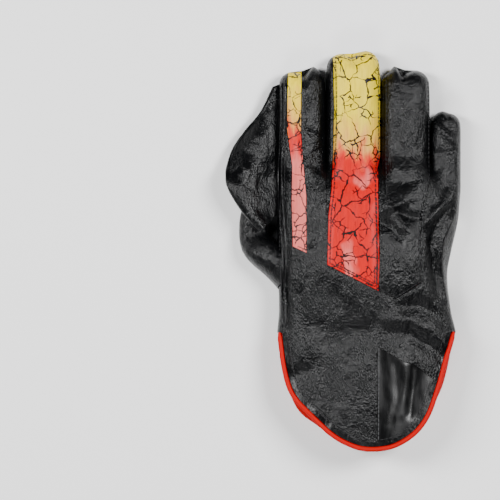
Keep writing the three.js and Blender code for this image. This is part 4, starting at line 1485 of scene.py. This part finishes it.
class GLOVE_OT_stitches(bpy.types.Operator):
    """Lays the rows of stitches along the seams"""

    bl_idname = "glove.stitches"
    bl_label = "Stitches"

    def execute(self, context):
        sizes = context.scene.glove_sizes
        tops = [n for n in made if n not in ("palm_rubber", "palm_patch", "cuff_front", "wrist_strip")]
        tree = surface_tree([n for n in tops if not n.startswith(("piping", "cuff_band_front", "crotch"))])
        panel = runs(inset_path(MIDDLE_PANEL, 2.0, high=middle_finger["tip"] - 4))
        across = [[p for p in inset_path(MIDDLE_PANEL, 3.4) if p[1] < -0.08 * palm_length]]
        tip_rows = [dict(along=at, rise=rise) for at, rise in TIP_EDGES["middle"]]
        middle_x, half = middle_of(middle_finger), middle_finger["width"] / 2
        over_tip = []
        for at in np.linspace(-0.68, 0.86, 30):
            inset = 3.4 + 2.2 * max(at - 0.6, 0)
            rise = curve_value(tip_rows, "rise", at)
            over_tip.append((middle_x + half * at, middle_finger["tip"] + rise - inset))
        dark = [*panel, *across, over_tip]
        ring_paths = runs(inset_path(RING_PANEL, -1.4, low=-0.3 * palm_length, high=0.4 * palm_length))
        ring_paths += runs(inset_path(RING_PANEL, 1.4, high=ring_finger["tip"] - 6))
        dark += ring_paths
        rim = rim_path(BACK_RIM, 150)
        dark += [shift(rim, piping_width + gap + cuff_band_width + 1.5)[6:-6]]
        for inset in (4.2, 1.9):
            dark.append([(side_of(y) + inset, y) for y in np.arange(web_top, wrist_y + 6, -4)])
        stitches("seam_stitches", tree, dark, sizes, "thread")
        edge_x = 0.07 * half_width
        light = [[(edge_x + 0.9, -0.56 * palm_length), (edge_x + 0.4, y_at(-1) + 8)]]
        stitches("patch_stitches", tree, light, sizes, "pale_thread")
        return {"FINISHED"}


class GLOVE_OT_stage(bpy.types.Operator):
    """Sets up the floor, the soft lights and the camera"""

    bl_idname = "glove.stage"
    bl_label = "Stage"

    def execute(self, context):
        scene = context.scene
        size = 3000
        corners = ((-size, -size), (size, -size), (size, size), (-size, size))
        floor = new_object("floor", [(x, y, -0.1) for x, y in corners], [(0, 1, 2, 3)])
        material, tree, principled = shader("pale_floor")
        tone = ranged(tree, noise_node(tree, place(tree), 3, 2), 0.3, 0.7, 0.0, 1.0)
        pale = blend_colour(tree, tone, (0.94, 0.94, 0.94), (0.95, 0.95, 0.95))
        fill(tree, principled, Base_Color=pale, Roughness=0.9)
        floor.data.materials.append(material)
        for name, where, width, height, power in (
            ("key", (0.7, 0.35, 1.25), 0.4, 0.6, 28),
            ("side", (-0.9, 0.25, 1.15), 0.3, 0.8, 26),
            ("front", (-0.25, -0.95, 1.1), 0.6, 0.3, 9),
        ):
            light = bpy.data.lights.new(name, "AREA")
            light.shape = "RECTANGLE"
            light.size, light.size_y = width, height
            light.energy = power
            lamp = bpy.data.objects.new(name, light)
            lamp.location = where
            lamp.rotation_mode = "QUATERNION"
            lamp.rotation_quaternion = (-Vector(where)).to_track_quat("-Z", "Y")
            scene.collection.objects.link(lamp)
        world = bpy.data.worlds.new("studio")
        world.use_nodes = True
        fill(world.node_tree, world.node_tree.nodes["Background"], Color=(1, 1, 1, 1), Strength=0.04)
        scene.world = world
        lens = bpy.data.cameras.new("camera")
        lens.lens = 240
        lens.sensor_width = 36
        camera = bpy.data.objects.new("camera", lens)
        camera.location = (-0.09015, 0, 2.52)
        scene.collection.objects.link(camera)
        scene.camera = camera
        return {"FINISHED"}


class GLOVE_PT_panel(bpy.types.Panel):
    """Lists the steps and their settings"""

    bl_idname = "GLOVE_PT_panel"
    bl_label = "Glove"
    bl_space_type = "VIEW_3D"
    bl_region_type = "UI"
    bl_category = "Glove"

    def draw(self, context):
        layout = self.layout
        for settings in (context.scene.glove_sizes, context.scene.glove_colours):
            for name in type(settings).__annotations__:
                layout.prop(settings, name)
        for operator in OPERATORS:
            layout.operator(operator.bl_idname)


OPERATORS = (
    GLOVE_OT_stage,
    GLOVE_OT_back,
    GLOVE_OT_palm,
    GLOVE_OT_piping,
    GLOVE_OT_thumb,
    GLOVE_OT_web,
    GLOVE_OT_welts,
    GLOVE_OT_stitches,
)
CLASSES = (GloveColours, GloveSizes, *OPERATORS, GLOVE_PT_panel)


def register():
    for cls in CLASSES:
        bpy.utils.register_class(cls)
    bpy.types.Scene.glove_colours = bpy.props.PointerProperty(type=GloveColours)
    bpy.types.Scene.glove_sizes = bpy.props.PointerProperty(type=GloveSizes)


def unregister():
    del bpy.types.Scene.glove_sizes
    del bpy.types.Scene.glove_colours
    for cls in reversed(CLASSES):
        bpy.utils.unregister_class(cls)


def main():
    register()
    bpy.ops.glove.stage()
    bpy.ops.glove.back()
    bpy.ops.glove.palm()
    bpy.ops.glove.piping()
    bpy.ops.glove.thumb()
    bpy.ops.glove.web()
    bpy.ops.glove.welts()
    bpy.ops.glove.stitches()


if __name__ == "__main__":
    main()
